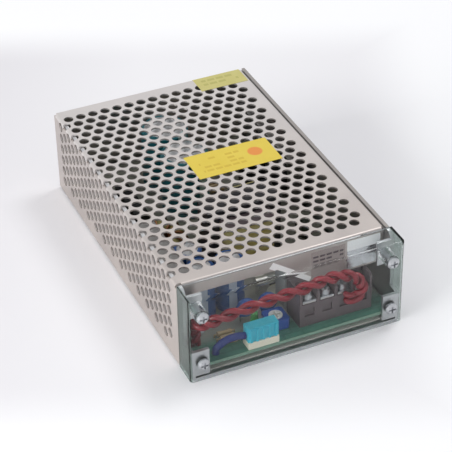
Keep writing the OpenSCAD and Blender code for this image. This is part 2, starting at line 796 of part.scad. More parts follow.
// A round tube of 8 sides swept along points
module tube(pts, d) {
  sides = 8;
  n = len(pts);
  rings = [for (i = [0 : n - 1], k = [0 : sides - 1])
    let (u = side(pts, i), v = cross(heading(pts, i), u), a = 360 * k / sides)
    pts[i] + d / 2 * (cos(a) * u + sin(a) * v)];
  walls = [for (i = [0 : n - 2], k = [0 : sides - 1])
    let (a = i * sides + k, b = i * sides + (k + 1) % sides)
    each [[a, a + sides, b + sides], [a, b + sides, b]]];
  ends = [[for (k = [0 : sides - 1]) k], [for (k = [sides - 1 : -1 : 0]) (n - 1) * sides + k]];
  polyhedron(rings, concat(walls, ends));
}

module red_wire(phase) {
  tube(twist(route(wire_pts, wire_steps), wire_off, wire_turns, phase), wire_d);
}

module red_wire_front() { color("crimson") red_wire(-45); }

module red_wire_rear() { color("firebrick") red_wire(135); }

module blue_lead() {
  color("midnightblue") tube(route(lead_pts, 4), lead_d);
}

// ---------- components ----------

// Sleeved can capacitor with a rolled groove and a vented top
module can(x, y, d, h) {
  r = d / 2;
  translate([x, y, board_top]) difference() {
    rotate_extrude() polygon([
      [0, 0], [r - 0.4, 0], [r, 0.4], [r, 2], [r - 0.6, 2.6], [r, 3.2], [r, h - 0.8],
      [r - 0.8, h], [r - 1.6, h], [r - 1.8, h - 0.4], [0, h - 0.4]]);
    for (a = [45, 135]) rotate([0, 0, a]) translate([-d * 0.3, -0.2, h - 0.7]) cube([d * 0.6, 0.4, 1]);
  }
}

// Film disc on two legs, standing across X
module disc(x, y, d, t, turn = 0) {
  translate([x, y, board_top]) rotate([0, 0, turn]) {
    translate([0, t / 2, d / 2 + 2]) rotate([90, 0, 0]) rotate_extrude() {
      square([d / 2 - t / 2, t]);
      translate([d / 2 - t / 2, t / 2]) intersection() {
        circle(d = t);
        translate([0, -t]) square([t, 2 * t]);
      }
    }
    for (s = [-1, 1]) translate([s * d * 0.3 - 0.3, -0.3, 0]) cube([0.6, 0.6, d / 2]);
  }
}

// Round-section ring core, flat on the board, lifted clear of its winding
module ring_core(x, y, ring_d, bar_d, wire) {
  translate([x, y, board_top + bar_d / 2 + wire + 0.2])
    rotate_extrude() translate([ring_d / 2, 0]) circle(d = bar_d);
}

// Turns of wire round a ring core, from one angle to another
module ring_turns(x, y, ring_d, bar_d, wire, count, a0, a1) {
  translate([x, y, board_top + bar_d / 2 + wire + 0.2])
    for (i = [0 : count - 1]) rotate([0, 0, a0 + (a1 - a0) * i / count])
      translate([ring_d / 2, 0, 0]) rotate([90, 0, 0]) rotate_extrude()
        translate([bar_d / 2 + wire / 2 + 0.1, 0]) circle(d = wire, $fn = 16);
}

// Plastic power package against a heatsink: face toward -X, tab toward +X
module power_package() {
  color("#26262a") {
    translate([-to220_t, -to220_w / 2, 0]) cube([to220_t - tab_t + eps, to220_w, 9]);
    for (y = [-2.54, 0, 2.54]) translate([-3, y - 0.4, -4]) cube([0.5, 0.8, 4 + eps]);
  }
  color("silver") difference() {
    translate([-tab_t, -to220_w / 2, 0]) cube([tab_t, to220_w, to220_h]);
    translate([-2 * tab_t, 0, 12]) rotate([0, 90, 0]) cylinder(d = screw_d + hole_play, h = 3 * tab_t);
  }
}

module at_output_sink(i) {
  translate([-sink_in, out_sink_y + out_sink_l * (0.28 + 0.44 * i), to220_z]) rotate([0, 0, 180]) children();
}

module at_main_sink(i) {
  translate([sink_in, main_sink_y + main_sink_l * (0.28 + 0.44 * i), to220_z]) children();
}

module output_rectifier(i) { at_output_sink(i) power_package(); }

module switching_transistor(i) { at_main_sink(i) power_package(); }

module heatsink_screws() {
  color("gainsboro") for (i = [0, 1]) {
    at_output_sink(i) translate([-tab_t, 0, 12]) rotate([0, -90, 0]) pan_screw(tab_t + sink_t);
    at_main_sink(i) translate([-tab_t, 0, 12]) rotate([0, -90, 0]) pan_screw(tab_t + sink_t);
  }
}

// Bent aluminium plate with a top flange turned in over its power packages
module heatsink(y0, len) {
  color("lightgray") difference() {
    union() {
      block([sink_in, y0, board_top], [sink_in + sink_t, y0 + len, sink_top]);
      block([sink_in + sink_t - sink_flange, y0, sink_top - sink_t],
            [sink_in + sink_t, y0 + len, sink_top]);
    }
    for (i = [0, 1]) translate([sink_in - 1, y0 + len * (0.28 + 0.44 * i), to220_z + 12]) rotate([0, 90, 0])
      cylinder(d = screw_d + thread_play, h = sink_t + 2);
    // Feet are left between shallow cut-outs
    for (f = [0.12, 0.56]) block([sink_in - 1, y0 + len * f, board_top - 1],
      [sink_in + sink_t + 1, y0 + len * (f + 0.32), board_top + 2]);
  }
}

module main_heatsink() { heatsink(main_sink_y, main_sink_l); }

module output_heatsink() { scale([-1, 1, 1]) heatsink(out_sink_y, out_sink_l); }

// Window core: outer legs, yokes and a centre leg, standing across X
module window_core(w, h, t, leg, yoke, centre) {
  difference() {
    translate([-w / 2, -t / 2, 0]) cube([w, t, h]);
    for (s = [-1, 1]) scale([s, 1, 1])
      translate([centre / 2, -t, yoke]) cube([(w - 2 * leg - centre) / 2, 2 * t, h - 2 * yoke]);
  }
}

module transformer_core() {
  color("#3b3a3d") translate([core_x, core_y, board_top + core_lift])
    window_core(core_w, core_h, core_t, leg_w, yoke_h, centre_leg);
}

module transformer_bobbin() {
  inner = centre_leg + 2 * wind_fit;
  inner_t = core_t + 2 * wind_fit;
  z0 = board_top + core_lift + yoke_h + wind_fit;
  z1 = z0 + window_h - 2 * wind_fit;
  color("#2b2b2b") translate([core_x, core_y, 0]) {
    difference() {
      union() {
        block([-bobbin_w / 2, -winding_l / 2, z0], [bobbin_w / 2, winding_l / 2, z0 + flange_t]);
        block([-bobbin_w / 2, -winding_l / 2, z1 - flange_t], [bobbin_w / 2, winding_l / 2, z1]);
        block([-inner / 2 - 1, -inner_t / 2 - 1, z0], [inner / 2 + 1, inner_t / 2 + 1, z1]);
      }
      block([-inner / 2, -inner_t / 2, z0 - 1], [inner / 2, inner_t / 2, z1 + 1]);
    }
    // Pin rails that stand on the board in front of and behind the core
    for (s = [-1, 1]) scale([1, s, 1])
      block([-bobbin_w / 2, core_t / 2 + 1, board_top], [bobbin_w / 2, winding_l / 2, z0 + eps]);
  }
}

module transformer_winding() {
  inner = centre_leg + 2 * wind_fit + 2;
  inner_t = core_t + 2 * wind_fit + 2;
  z0 = board_top + core_lift + yoke_h + wind_fit + flange_t;
  z1 = z0 + window_h - 2 * wind_fit - 2 * flange_t;
  r = 3;
  w = bobbin_w - 0.4;
  l = winding_l - 1;
  color("gold") translate([core_x, core_y, z0]) linear_extrude(z1 - z0) difference() {
    union() {
      square([w - 2 * r, l], center = true);
      square([w, l - 2 * r], center = true);
      for (sx = [-1, 1], sy = [-1, 1]) translate([sx * (w / 2 - r), sy * (l / 2 - r)]) circle(r = r);
    }
    square([inner, inner_t], center = true);
  }
}

module driver_core() {
  color("#3b3a3d") translate([driver_x, driver_y, board_top])
    window_core(driver_w, driver_h, driver_post, driver_leg, driver_leg, driver_post);
}

module driver_coil() {
  half = driver_w / 2 - driver_leg - wind_fit;
  hole = driver_post + 2 * wind_fit;
  color("khaki") translate([driver_x, driver_y, board_top + driver_leg + wind_fit]) difference() {
    translate([-half, -driver_l / 2, 0]) cube([2 * half, driver_l, driver_h - 2 * driver_leg - 2 * wind_fit]);
    translate([-hole / 2, -hole / 2, -1]) cube([hole, hole, driver_h]);
  }
}

module bulk_capacitor(i) { color("teal") can(bulk_x, bulk_y - i * bulk_step, bulk_d, bulk_h); }

module output_capacitor(i) {
  color("steelblue") can(out_cap_x + (i == 2 ? out_cap_step : 0), out_cap_y + (i == 1 ? out_cap_step : 0),
    out_cap_d, out_cap_h);
}

module aux_capacitor(i) { color("#20242e") can(aux_cap_x, aux_cap_y + i * aux_cap_step, aux_cap_d, aux_cap_h); }

module fuse_tube() {
  color("white", 0.5) translate([fuse_x - fuse_l / 2 + 5.2, fuse_y, fuse_z]) rotate([0, 90, 0])
    cylinder(d = fuse_d - 0.6, h = fuse_l - 10.4);
}

module fuse_caps() {
  color("silver") for (s = [-1, 1]) translate([fuse_x + s * (fuse_l / 2 - 2.6), fuse_y, fuse_z])
    rotate([0, 90, 0]) cylinder(d = fuse_d, h = 5.2, center = true);
}

module fuse_clips() {
  color("silver") for (s = [-1, 1]) translate([fuse_x + s * (fuse_l / 2 - 2.6), fuse_y, 0])
    translate([-2, 0, 0]) rotate([90, 0, 90]) linear_extrude(4) difference() {
      union() {
        translate([0, fuse_z]) circle(d = fuse_d + 1.2);
        translate([-1.5, board_top]) square([3, fuse_z - board_top - 1]);
      }
      translate([0, fuse_z]) circle(d = fuse_d + 0.1);
      translate([-1.6, fuse_z + 0.6]) square([3.2, 5]);
    }
}

module inrush_thermistor() { color("darkolivegreen") disc(line_x, thermistor_y, thermistor_d, thermistor_t, 90); }

module x_capacitor() {
  color("silver") block([x_cap_x, x_cap_y, board_top],
    [x_cap_x + x_cap_w, x_cap_y + x_cap_t, board_top + x_cap_h]);
}

module y_capacitor(i) { color("dodgerblue") disc(y_cap_x + (y_cap_d + 1) * i, y_cap_y, y_cap_d, y_cap_t); }

module line_choke_core() { color("#3a3f3a") ring_core(line_x, line_y, line_ring_d, line_bar_d, line_wire_d); }

module line_choke_windings() {
  color("peru") for (a = [20, 200])
    ring_turns(line_x, line_y, line_ring_d, line_bar_d, line_wire_d, 8, a, a + 150);
}

module bridge_rectifier() {
  color("#1b1b1d") translate([bridge_x, bridge_y, board_top + bridge_leg]) {
    difference() {
      cube([bridge_w, bridge_t, bridge_h]);
      translate([bridge_w, bridge_t / 2, bridge_h]) rotate([0, 45, 0]) cube([4, 2 * bridge_t, 4], center = true);
    }
    for (i = [0 : 3]) translate([(i + 0.5) * bridge_w / 4 - 0.5, bridge_t / 2 - 0.4, -bridge_leg])
      cube([1, 0.8, bridge_leg + eps]);
  }
}

module output_choke_core() {
  color("gold") ring_core(choke_x, choke_y, choke_ring_d, choke_bar_d, choke_wire_d);
}

module output_choke_winding() {
  color("chocolate") ring_turns(choke_x, choke_y, choke_ring_d, choke_bar_d, choke_wire_d, choke_turns, 0, 360);
}

// Dual in-line chip with legs on the board
module chip(x, y, w, l, legs) {
  color("#1c1c1e") translate([x, y, board_top]) {
    translate([-w / 2, -l / 2, 0.6]) cube([w, l, 3.2]);
    for (i = [0 : legs - 1], s = [-1, 1])
      translate([s * (w / 2 + 0.1) - 0.3, (i - (legs - 1) / 2) * 2.54 - 0.6, 0]) cube([0.6, 1.2, 2.4]);
  }
}

module control_chip() { chip(chip_x, chip_y, chip_w, chip_l, 8); }

module optocoupler() { chip(chip_x, opto_y, chip_w, opto_l, 2); }

module load_resistor() {
  color("whitesmoke") block([load_x, load_y, board_top], [load_x + load_w, load_y + load_l, board_top + load_l]);
}

// Axial resistor along X on bent legs, with the bead-shaped ends of its coating
module axial_resistor(x, y) {
  r = 1.15;
  half = 3.2;
  reach = 4.6;
  translate([x, y, board_top + r + 0.1]) {
    rotate([0, 90, 0]) rotate_extrude() {
      translate([0, -half + 0.4]) square([r - 0.2, 2 * half - 0.8]);
      for (e = [-1, 1]) translate([0, e * (half - 0.9) - 0.9]) square([r, 1.8]);
    }
    translate([-reach, 0, 0]) rotate([0, 90, 0]) cylinder(d = 0.6, h = 2 * reach);
    for (e = [-1, 1]) translate([e * reach, 0, -r - 0.1]) cylinder(d = 0.6, h = r + 0.4);
  }
}

module small_resistors() {
  color("burlywood") {
    for (i = [0 : 2]) axial_resistor(plug_x - 12, plug_y + plug_l / 2 + 1.8 + 3 * i);
    for (i = [0 : 2]) axial_resistor(load_x + 5, load_y - 3 - 3 * i);
  }
}

// ---------- labels ----------

module top_label() {
  x1 = right_x - top_label_right;
  y1 = rear_y - top_label_rear;
  color("gold") block([x1 - top_label_w, y1 - top_label_l, case_h], [x1, y1, case_h + label_t]);
}

module seal_sticker() {
  x1 = cover_right - bend_r;
  color("darkkhaki") along_x(x1 - seal_w, x1) {
    translate([rear_y - seal_reach, case_h]) square([seal_reach - bend_r, label_t]);
    translate([rear_y - bend_r, case_h - bend_r]) bend_section(bend_r, label_t);
    translate([rear_y, case_h - seal_reach]) square([label_t, seal_reach - bend_r]);
  }
}

foil_w = 15.5;
foil_gap = 1;
module lip_sticker(x0, x1, z0, z1) {
  block([x0, cover_front - label_t, z0], [x1, cover_front, z1]);
}

module lip_label() {
  color("tan") lip_sticker(left_x + lip_slope_start + lip_slope_w + 1, cover_right - bend_r - foil_w - 2 * foil_gap,
    lip_z + 1, case_h - bend_r - 1);
}

module foil_patch() {
  color("lightsteelblue") lip_sticker(cover_right - bend_r - foil_w - foil_gap, cover_right - bend_r - foil_gap,
    lip_z + 1, case_h - bend_r - 0.5);
}

chassis();
mesh_cover();
clear_cover();
clear_cover_long_screws();
clear_cover_short_screws();
cover_screws();
insulation_sheet();
circuit_board();
standoffs();
board_screws();
terminal_block();
terminal_contacts();
terminal_screws();
trimmer_body();
trimmer_rotor();
led_indicator();
plug_header();
control_plug();
blue_lead();
red_wire_front();
red_wire_rear();
fuse_tube();
fuse_caps();
fuse_clips();
inrush_thermistor();
x_capacitor();
y_capacitor(0);  // y_capacitor_1
y_capacitor(1);  // y_capacitor_2
line_choke_core();
line_choke_windings();
bridge_rectifier();
bulk_capacitor(0);  // bulk_capacitor_1
bulk_capacitor(1);  // bulk_capacitor_2
transformer_core();
transformer_bobbin();
transformer_winding();
driver_core();
driver_coil();
main_heatsink();
output_heatsink();
switching_transistor(0);  // switching_transistor_1
switching_transistor(1);  // switching_transistor_2
output_rectifier(0);  // output_rectifier_1
output_rectifier(1);  // output_rectifier_2
heatsink_screws();
output_choke_core();
output_choke_winding();
output_capacitor(0);  // output_capacitor_1
output_capacitor(1);  // output_capacitor_2
output_capacitor(2);  // output_capacitor_3
control_chip();
optocoupler();
aux_capacitor(0);  // aux_capacitor_1
aux_capacitor(1);  // aux_capacitor_2
load_resistor();
small_resistors();
top_label();
seal_sticker();
lip_label();
foil_patch();
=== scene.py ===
# %% [markdown]
# # A switching power supply in a perforated metal case
#
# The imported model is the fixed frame: it holds every piece at its real size. This lesson gives
# each piece its finish, lays the wires, prints the labels and lights the whole on a pale table.

import json
import math

import bpy
from mathutils import Matrix, Vector


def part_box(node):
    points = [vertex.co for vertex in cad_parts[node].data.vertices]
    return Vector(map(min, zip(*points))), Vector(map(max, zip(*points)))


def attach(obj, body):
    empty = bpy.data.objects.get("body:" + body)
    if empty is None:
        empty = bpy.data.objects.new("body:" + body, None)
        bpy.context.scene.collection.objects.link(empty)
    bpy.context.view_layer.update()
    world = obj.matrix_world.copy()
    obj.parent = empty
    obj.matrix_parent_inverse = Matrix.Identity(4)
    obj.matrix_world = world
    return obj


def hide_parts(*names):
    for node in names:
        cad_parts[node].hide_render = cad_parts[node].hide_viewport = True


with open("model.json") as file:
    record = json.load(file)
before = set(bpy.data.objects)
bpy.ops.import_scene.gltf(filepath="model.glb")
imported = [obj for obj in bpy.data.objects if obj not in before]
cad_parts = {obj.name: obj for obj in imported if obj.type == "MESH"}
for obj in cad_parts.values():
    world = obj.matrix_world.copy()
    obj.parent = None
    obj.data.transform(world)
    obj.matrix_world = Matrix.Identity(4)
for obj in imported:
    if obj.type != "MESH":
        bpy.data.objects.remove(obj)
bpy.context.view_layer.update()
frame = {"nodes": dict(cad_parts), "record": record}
nodes = frame["nodes"]
BODY = "supply"
MM = 0.001

# %% [markdown]
# Colours are written as the hex values that a paint chart gives. Blender works in linear light,
# so one function turns them over. A second small function adds any node, sets what it is told
# and links what it is given, so that each material below reads as a list of its ingredients. A
# third lays colours over a first one, each by its own mask, as coats of paint are laid.

# %% Colour and node helpers


def linear(hex_colour):
    """An sRGB hex colour as the linear RGBA that Blender's sockets take."""
    parts = [int(hex_colour[i : i + 2], 16) / 255 for i in (1, 3, 5)]
    return [c / 12.92 if c <= 0.04045 else ((c + 0.055) / 1.055) ** 2.4 for c in parts] + [1.0]


def add(tree, kind, links=None, **settings):
    """Adds a node, with its settings and with its inputs set or linked, and returns it."""
    made = tree.nodes.new(kind)
    for name, value in settings.items():
        setattr(made, name, value)
    for key, value in (links or {}).items():
        if isinstance(value, bpy.types.NodeSocket):
            tree.links.new(value, made.inputs[key])
        else:
            made.inputs[key].default_value = value
    return made


def paint(tree, shader, first, *coats):
    """Colours a shader with a first colour and then with coats, each one a mask and a colour."""
    under = linear(first)
    shader.inputs["Base Color"].default_value = under
    for mask, coat in coats:
        mix = add(tree, "ShaderNodeMix", {0: mask, 6: under, 7: linear(coat)}, data_type="RGBA")
        under = mix.outputs[2]
    if coats:
        tree.links.new(under, shader.inputs["Base Color"])


# %% [markdown]
# The viewer stands in front of the terminals, a little to the left, and looks down at the case
# through a long lens. A long lens keeps the long edges of the case almost parallel.

# %% Camera
AZIMUTH, ELEVATION, ROLL = -23.364, 35.347, -1.17
CAMERA_PLACE = (-0.24965, -0.58382, 0.46384)
LENS_MM, SENSOR_MM = 137.89, 36
camera_data = bpy.data.cameras.new("camera")
camera_data.lens = LENS_MM
camera_data.sensor_width = SENSOR_MM
camera_data.clip_start = 0.05
camera_data.clip_end = 20
camera = bpy.data.objects.new("camera", camera_data)
turn = (
    Matrix.Rotation(math.radians(AZIMUTH), 4, "Z")
    @ Matrix.Rotation(math.radians(90 - ELEVATION), 4, "X")
    @ Matrix.Rotation(math.radians(ROLL), 4, "Z")
)
camera.matrix_world = Matrix.Translation(CAMERA_PLACE) @ turn
bpy.context.scene.collection.objects.link(camera)
bpy.context.scene.camera = camera
bpy.context.scene.view_settings.view_transform = "Standard"
print("camera at", CAMERA_PLACE, "with a lens of", LENS_MM, "mm")

# %% [markdown]
# A plain studio: a pale sky all round, one soft lamp high on the right, so that a narrow shadow
# falls along the left side, and a broader one low on the left, which lights the left wall. What
# the metal and the clear cover mirror is the same sky, so the sky is given its pale colour for
# camera, glossy and transmission rays, and a lower level for the light that it throws.

# %% World and lamps
SKY_COLOUR = "#F1F2F5"
SKY_LIGHT, SKY_SHOWN = 0.66, 0.95
LAMP_TARGET = (0, 0, 0.02)
world = bpy.data.worlds.new("studio")
bpy.context.scene.world = world
world.use_nodes = True
sky = world.node_tree
sky.nodes.clear()
path = add(sky, "ShaderNodeLightPath")
seen = path.outputs["Is Camera Ray"]
for ray in ("Is Glossy Ray", "Is Transmission Ray"):
    seen = add(sky, "ShaderNodeMath", {0: seen, 1: path.outputs[ray]}, operation="MAXIMUM").outputs[0]
lit = add(sky, "ShaderNodeBackground", {"Color": linear(SKY_COLOUR), "Strength": SKY_LIGHT})
shown = add(sky, "ShaderNodeBackground", {"Color": linear(SKY_COLOUR), "Strength": SKY_SHOWN})
both = add(sky, "ShaderNodeMixShader", {0: seen, 1: lit.outputs[0], 2: shown.outputs[0]})
add(sky, "ShaderNodeOutputWorld", {"Surface": both.outputs[0]})


def soft_lamp(name, place, side, watts):
    """A square area lamp that faces the middle of the case."""
    data = bpy.data.lights.new(name, "AREA")
    data.shape = "SQUARE"
    data.size = side
    data.energy = watts
    lamp = bpy.data.objects.new(name, data)
    lamp.location = place
    lamp.rotation_euler = (Vector(LAMP_TARGET) - Vector(place)).to_track_quat("-Z", "Y").to_euler()
    bpy.context.scene.collection.objects.link(lamp)
    print(name, "of", watts, "W and", side, "m at", place)


soft_lamp("key_lamp", place=(0.50, 0.15, 1.00), side=0.35, watts=3.2)
soft_lamp("fill_lamp", place=(-1.15, -0.20, 0.40), side=0.8, watts=13.5)

# %% [markdown]
# The table is one large sheet of matte white board. Its own colour makes the pale background,
# so the case keeps its shadow on it. Round the case lies a cool light grey field with soft
# straight borders, and outside them the board is white. The board is a little greyer on the
# fill lamp's side, which evens out the lamp's nearness. The field is turned with the viewer's
# side of the table, so one Mapping node turns the coordinates before the borders are measured.

# %% Table
TABLE_HALF = 3.0
TABLE_NEAR, TABLE_LAMPWARD, TABLE_FAR = "#EFEEF0", "#DFDDE0", "#FCFCFD"
FIELD_X, FIELD_Y, FIELD_W, FIELD_D, FIELD_SOFT = -0.036, 0.041, 0.296, 0.350, 0.045
LAMPWARD_FULL, LAMPWARD_NONE = -0.15, -0.04
table_mesh = bpy.data.meshes.new("table")
corners = [(x * TABLE_HALF, y * TABLE_HALF, 0) for x, y in ((-1, -1), (1, -1), (1, 1), (-1, 1))]
table_mesh.from_pydata(corners, [], [(0, 1, 2, 3)])
table = bpy.data.objects.new("table", table_mesh)
bpy.context.scene.collection.objects.link(table)
table_mat = bpy.data.materials.new("matte_white_board")
table_mat.use_nodes = True
tree = table_mat.node_tree
place = add(tree, "ShaderNodeTexCoord")
field = add(tree, "ShaderNodeMapping", {
    "Vector": place.outputs["Object"], "Rotation": (0, 0, math.radians(-AZIMUTH))})
field_at = add(tree, "ShaderNodeSeparateXYZ", {0: field.outputs[0]})
reach = []
for axis, middle, half in (("X", FIELD_X, FIELD_W / 2), ("Y", FIELD_Y, FIELD_D / 2)):
    off = add(tree, "ShaderNodeMath", {0: field_at.outputs[axis], 1: middle}, operation="SUBTRACT")
    away = add(tree, "ShaderNodeMath", {0: off.outputs[0]}, operation="ABSOLUTE")
    reach.append(add(tree, "ShaderNodeMapRange", {
        "Value": away.outputs[0], "From Min": half - FIELD_SOFT, "From Max": half,
    }, interpolation_type="SMOOTHSTEP").outputs[0])
outside = add(tree, "ShaderNodeMath", {0: reach[0], 1: reach[1]}, operation="MAXIMUM")
lampward = add(tree, "ShaderNodeMapRange", {
    "Value": field_at.outputs["X"], "From Min": LAMPWARD_FULL, "From Max": LAMPWARD_NONE,
    "To Min": 1.0, "To Max": 0.0})
board = tree.nodes["Principled BSDF"]
paint(tree, board, TABLE_NEAR, (lampward.outputs[0], TABLE_LAMPWARD), (outside.outputs[0], TABLE_FAR))
board.inputs["Roughness"].default_value = 0.9
board.inputs["Specular IOR Level"].default_value = 0.1
table_mesh.materials.append(table_mat)
print("table:", 2 * TABLE_HALF, "m wide, with a grey field of", FIELD_W, "by", FIELD_D, "m")

# %% [markdown]
# Every material starts the same way: a Principled shader, and the piece's own coordinates in
# millimetres. With millimetres a noise of scale 2 has features half a millimetre across, so each
# pattern below can be given the size that it has on the real surface. Some patterns lie at a
# place on their piece, and one function gives a piece's corners, in millimetres too.

# %% Material starter
OUT_OF_REACH = 1000.0


def corner_mm(node_name):
    """A node's low and high corners in millimetres."""
    return [[value / MM for value in corner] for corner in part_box(node_name)]


def start(name, metallic, roughness):
    """A new material: its node tree, its Principled shader and its coordinates in millimetres."""
    mat = bpy.data.materials.new(name)
    mat.use_nodes = True
    nt = mat.node_tree
    shader = nt.nodes["Principled BSDF"]
    shader.inputs["Metallic"].default_value = metallic
    shader.inputs["Roughness"].default_value = roughness
    where = add(nt, "ShaderNodeTexCoord")
    mm = add(nt, "ShaderNodeVectorMath", {0: where.outputs["Object"], "Scale": 1 / MM}, operation="SCALE")
    return mat, nt, shader, mm.outputs[0]


def every(nt, masks):
    """The product of several masks: one only where every one of them is."""
    whole = masks[0]
    for mask in masks[1:]:
        whole = add(nt, "ShaderNodeMath", {0: whole, 1: mask}, operation="MULTIPLY").outputs[0]
    return whole


def between(nt, value, low, high):
    """A mask that is one where a value lies between two limits."""
    above = add(nt, "ShaderNodeMath", {0: value, 1: low}, operation="GREATER_THAN")
    below = add(nt, "ShaderNodeMath", {0: value, 1: high}, operation="LESS_THAN")
    return every(nt, [above.outputs[0], below.outputs[0]])


def finish_node(node_name, mat):
    """Gives a finish to one CAD node."""
    slots = nodes[node_name].data.materials
    slots.clear()
    slots.append(mat)


def dress(slot, mat):
    """Gives a finish to every CAD node in one of the record's material slots."""
    dressed = [part["node"] for part in frame["record"]["subparts"] if part["material_slot"] == slot]
    for node_name in dressed:
        finish_node(node_name, mat)
    print(mat.name, "on", ", ".join(dressed))


# %% [markdown]
# The perforated cover is cold-rolled steel sheet with a thin satin nickel plate. Rolling leaves
# very fine lines along the sheet, and the plating turns the mirror into a soft warm-grey sheen.
# Handling leaves cloudy patches where the sheen is duller. The top is painted a little paler
# towards the rear, a painted sheen. Along the fold over the lip the plate is painted darker, a
# painted shade line. The lip has one sloped edge, and along it a narrow pale band is painted, a
# painted highlight that two dot products find, one along the slope and one square to it. The
# painted highlight is drawn as a matt white, because a bright metal strip this thin would show
# from a few sides only.

# %% Plated steel
PLATE_METALLIC = 0.85
BEND_MM = 1.6
LIP_Y = corner_mm("mesh_cover")[0][1]
FOLD_Z = corner_mm("mesh_cover")[1][2] - BEND_MM
SLOPE_FROM, SLOPE_TO = (-4.0, 35.6), (10.5, 25.5)
HIGHLIGHT_LOW, HIGHLIGHT_HIGH, HIGHLIGHT_START = -0.8, 2.4, -4.0
PALER_FROM, PALER_MOST = LIP_Y + 20.0, 0.55


def plated_steel():
    mat, nt, shader, mm = start("satin_nickel_plated_steel", PLATE_METALLIC, 0.42)
    axes = add(nt, "ShaderNodeSeparateXYZ", {0: mm})
    cloud = add(nt, "ShaderNodeTexNoise", {"Vector": mm, "Scale": 0.05, "Detail": 3.0})
    streak_at = add(nt, "ShaderNodeMapping", {"Vector": mm, "Scale": (4.0, 0.12, 4.0)})
    streak = add(nt, "ShaderNodeTexNoise", {"Vector": streak_at.outputs[0], "Scale": 1.0, "Detail": 2.0})
    # A painted sheen: the rear of the top is painted paler.
    rearward = add(nt, "ShaderNodeMapRange", {
        "Value": axes.outputs["Y"], "From Min": PALER_FROM, "From Max": -LIP_Y,
        "To Min": 0.0, "To Max": PALER_MOST})
    on_top = add(nt, "ShaderNodeMath", {0: axes.outputs["Z"], 1: FOLD_Z}, operation="GREATER_THAN")
    rear_top_painted_sheen = every(nt, [rearward.outputs[0], on_top.outputs[0]])
    # A painted highlight: a pale band along the sloped edge of the lip.
    run = Vector((SLOPE_TO[0] - SLOPE_FROM[0], SLOPE_TO[1] - SLOPE_FROM[1]))
    from_start = add(nt, "ShaderNodeVectorMath", {
        0: mm, 1: (SLOPE_FROM[0], 0, SLOPE_FROM[1])}, operation="SUBTRACT")
    along = add(nt, "ShaderNodeVectorMath", {
        0: from_start.outputs[0], 1: (run.x / run.length, 0, run.y / run.length),
    }, operation="DOT_PRODUCT")
    above = add(nt, "ShaderNodeVectorMath", {
        0: from_start.outputs[0], 1: (-run.y / run.length, 0, run.x / run.length),
    }, operation="DOT_PRODUCT")
    on_lip = add(nt, "ShaderNodeMath", {0: axes.outputs["Y"], 1: LIP_Y + 0.3}, operation="LESS_THAN")
    painted_highlight_band = every(nt, [
        between(nt, above.outputs["Value"], HIGHLIGHT_LOW, HIGHLIGHT_HIGH),
        between(nt, along.outputs["Value"], HIGHLIGHT_START, run.length), on_lip.outputs[0]])
    # A painted shade: a darker line along the fold.
    fold_painted_shade = every(nt, [
        between(nt, axes.outputs["Y"], LIP_Y - 0.2, LIP_Y + 1.1),
        between(nt, axes.outputs["Z"], FOLD_Z, FOLD_Z + 3.0)])
    # After the handling cloud come painted light: the painted sheen, highlight and shade line.
    paint(nt, shader, "#B6AEAA", (cloud.outputs["Fac"], "#C8C0BA"), (rear_top_painted_sheen, "#E2DEDC"),
          (painted_highlight_band, "#FFFCFB"), (fold_painted_shade, "#A19B98"))
    plating = add(nt, "ShaderNodeMapRange", {"Value": painted_highlight_band, "To Min": PLATE_METALLIC, "To Max": 0.0})
    nt.links.new(plating.outputs[0], shader.inputs["Metallic"])
    dull = add(nt, "ShaderNodeMath", {0: cloud.outputs["Fac"], 1: streak.outputs["Fac"]}, operation="ADD")
    rough = add(nt, "ShaderNodeMapRange", {
        "Value": dull.outputs[0], "From Min": 0.7, "From Max": 1.3, "To Min": 0.36, "To Max": 0.5})
    nt.links.new(rough.outputs[0], shader.inputs["Roughness"])
    grain = add(nt, "ShaderNodeTexNoise", {"Vector": mm, "Scale": 3.0, "Detail": 2.0})
    relief = add(nt, "ShaderNodeMath", {0: grain.outputs["Fac"], 1: streak.outputs["Fac"]}, operation="ADD")
    bump = add(nt, "ShaderNodeBump", {"Height": relief.outputs[0], "Strength": 0.12, "Distance": 0.02 * MM})
    nt.links.new(bump.outputs[0], shader.inputs["Normal"])
    return mat


dress("plated_steel", plated_steel())

# %% [markdown]
# The chassis is aluminium sheet as it leaves the mill: brighter and cooler than the cover, with
# long drawing lines and a duller broken surface between them. Along the top of its wall the
# sheet is sheared, and the torn edge is a little greyer than the faces.

# %% Mill-finish aluminium


def mill_aluminium(name, colour_a, colour_b, low, high, sheared_above=OUT_OF_REACH):
    mat, nt, shader, mm = start(name, 1.0, low)
    lines_at = add(nt, "ShaderNodeMapping", {"Vector": mm, "Scale": (6.0, 0.05, 6.0)})
    lines = add(nt, "ShaderNodeTexNoise", {"Vector": lines_at.outputs[0], "Scale": 1.0, "Detail": 4.0})
    axes = add(nt, "ShaderNodeSeparateXYZ", {0: mm})
    cut = add(nt, "ShaderNodeMath", {0: axes.outputs["Z"], 1: sheared_above}, operation="GREATER_THAN")
    paint(nt, shader, colour_a, (lines.outputs["Fac"], colour_b), (cut.outputs[0], "#A39D99"))
    rough = add(nt, "ShaderNodeMapRange", {
        "Value": lines.outputs["Fac"], "From Min": 0.3, "From Max": 0.7, "To Min": low, "To Max": high})
    nt.links.new(rough.outputs[0], shader.inputs["Roughness"])
    bump = add(nt, "ShaderNodeBump", {
        "Height": lines.outputs["Fac"], "Strength": 0.15, "Distance": 0.02 * MM})
    nt.links.new(bump.outputs[0], shader.inputs["Normal"])
    return mat


sheared_edge = corner_mm("chassis")[1][2] - 0.1
dress("aluminium_sheet", mill_aluminium(
    "mill_finish_aluminium_sheet", "#BDBEC0", "#D8D9DA", 0.3, 0.46, sheared_edge))
dress("aluminium_plate", mill_aluminium("sheared_aluminium_plate", "#989694", "#B4B2B0", 0.34, 0.5))

# %% [markdown]
# Screws, contacts and clips are small bright parts: zinc with a trace of blue on the screws, and
# soft tin on the contacts. Both show fine tool marks, drawn here a little coarser than life.

# %% Bright small metal


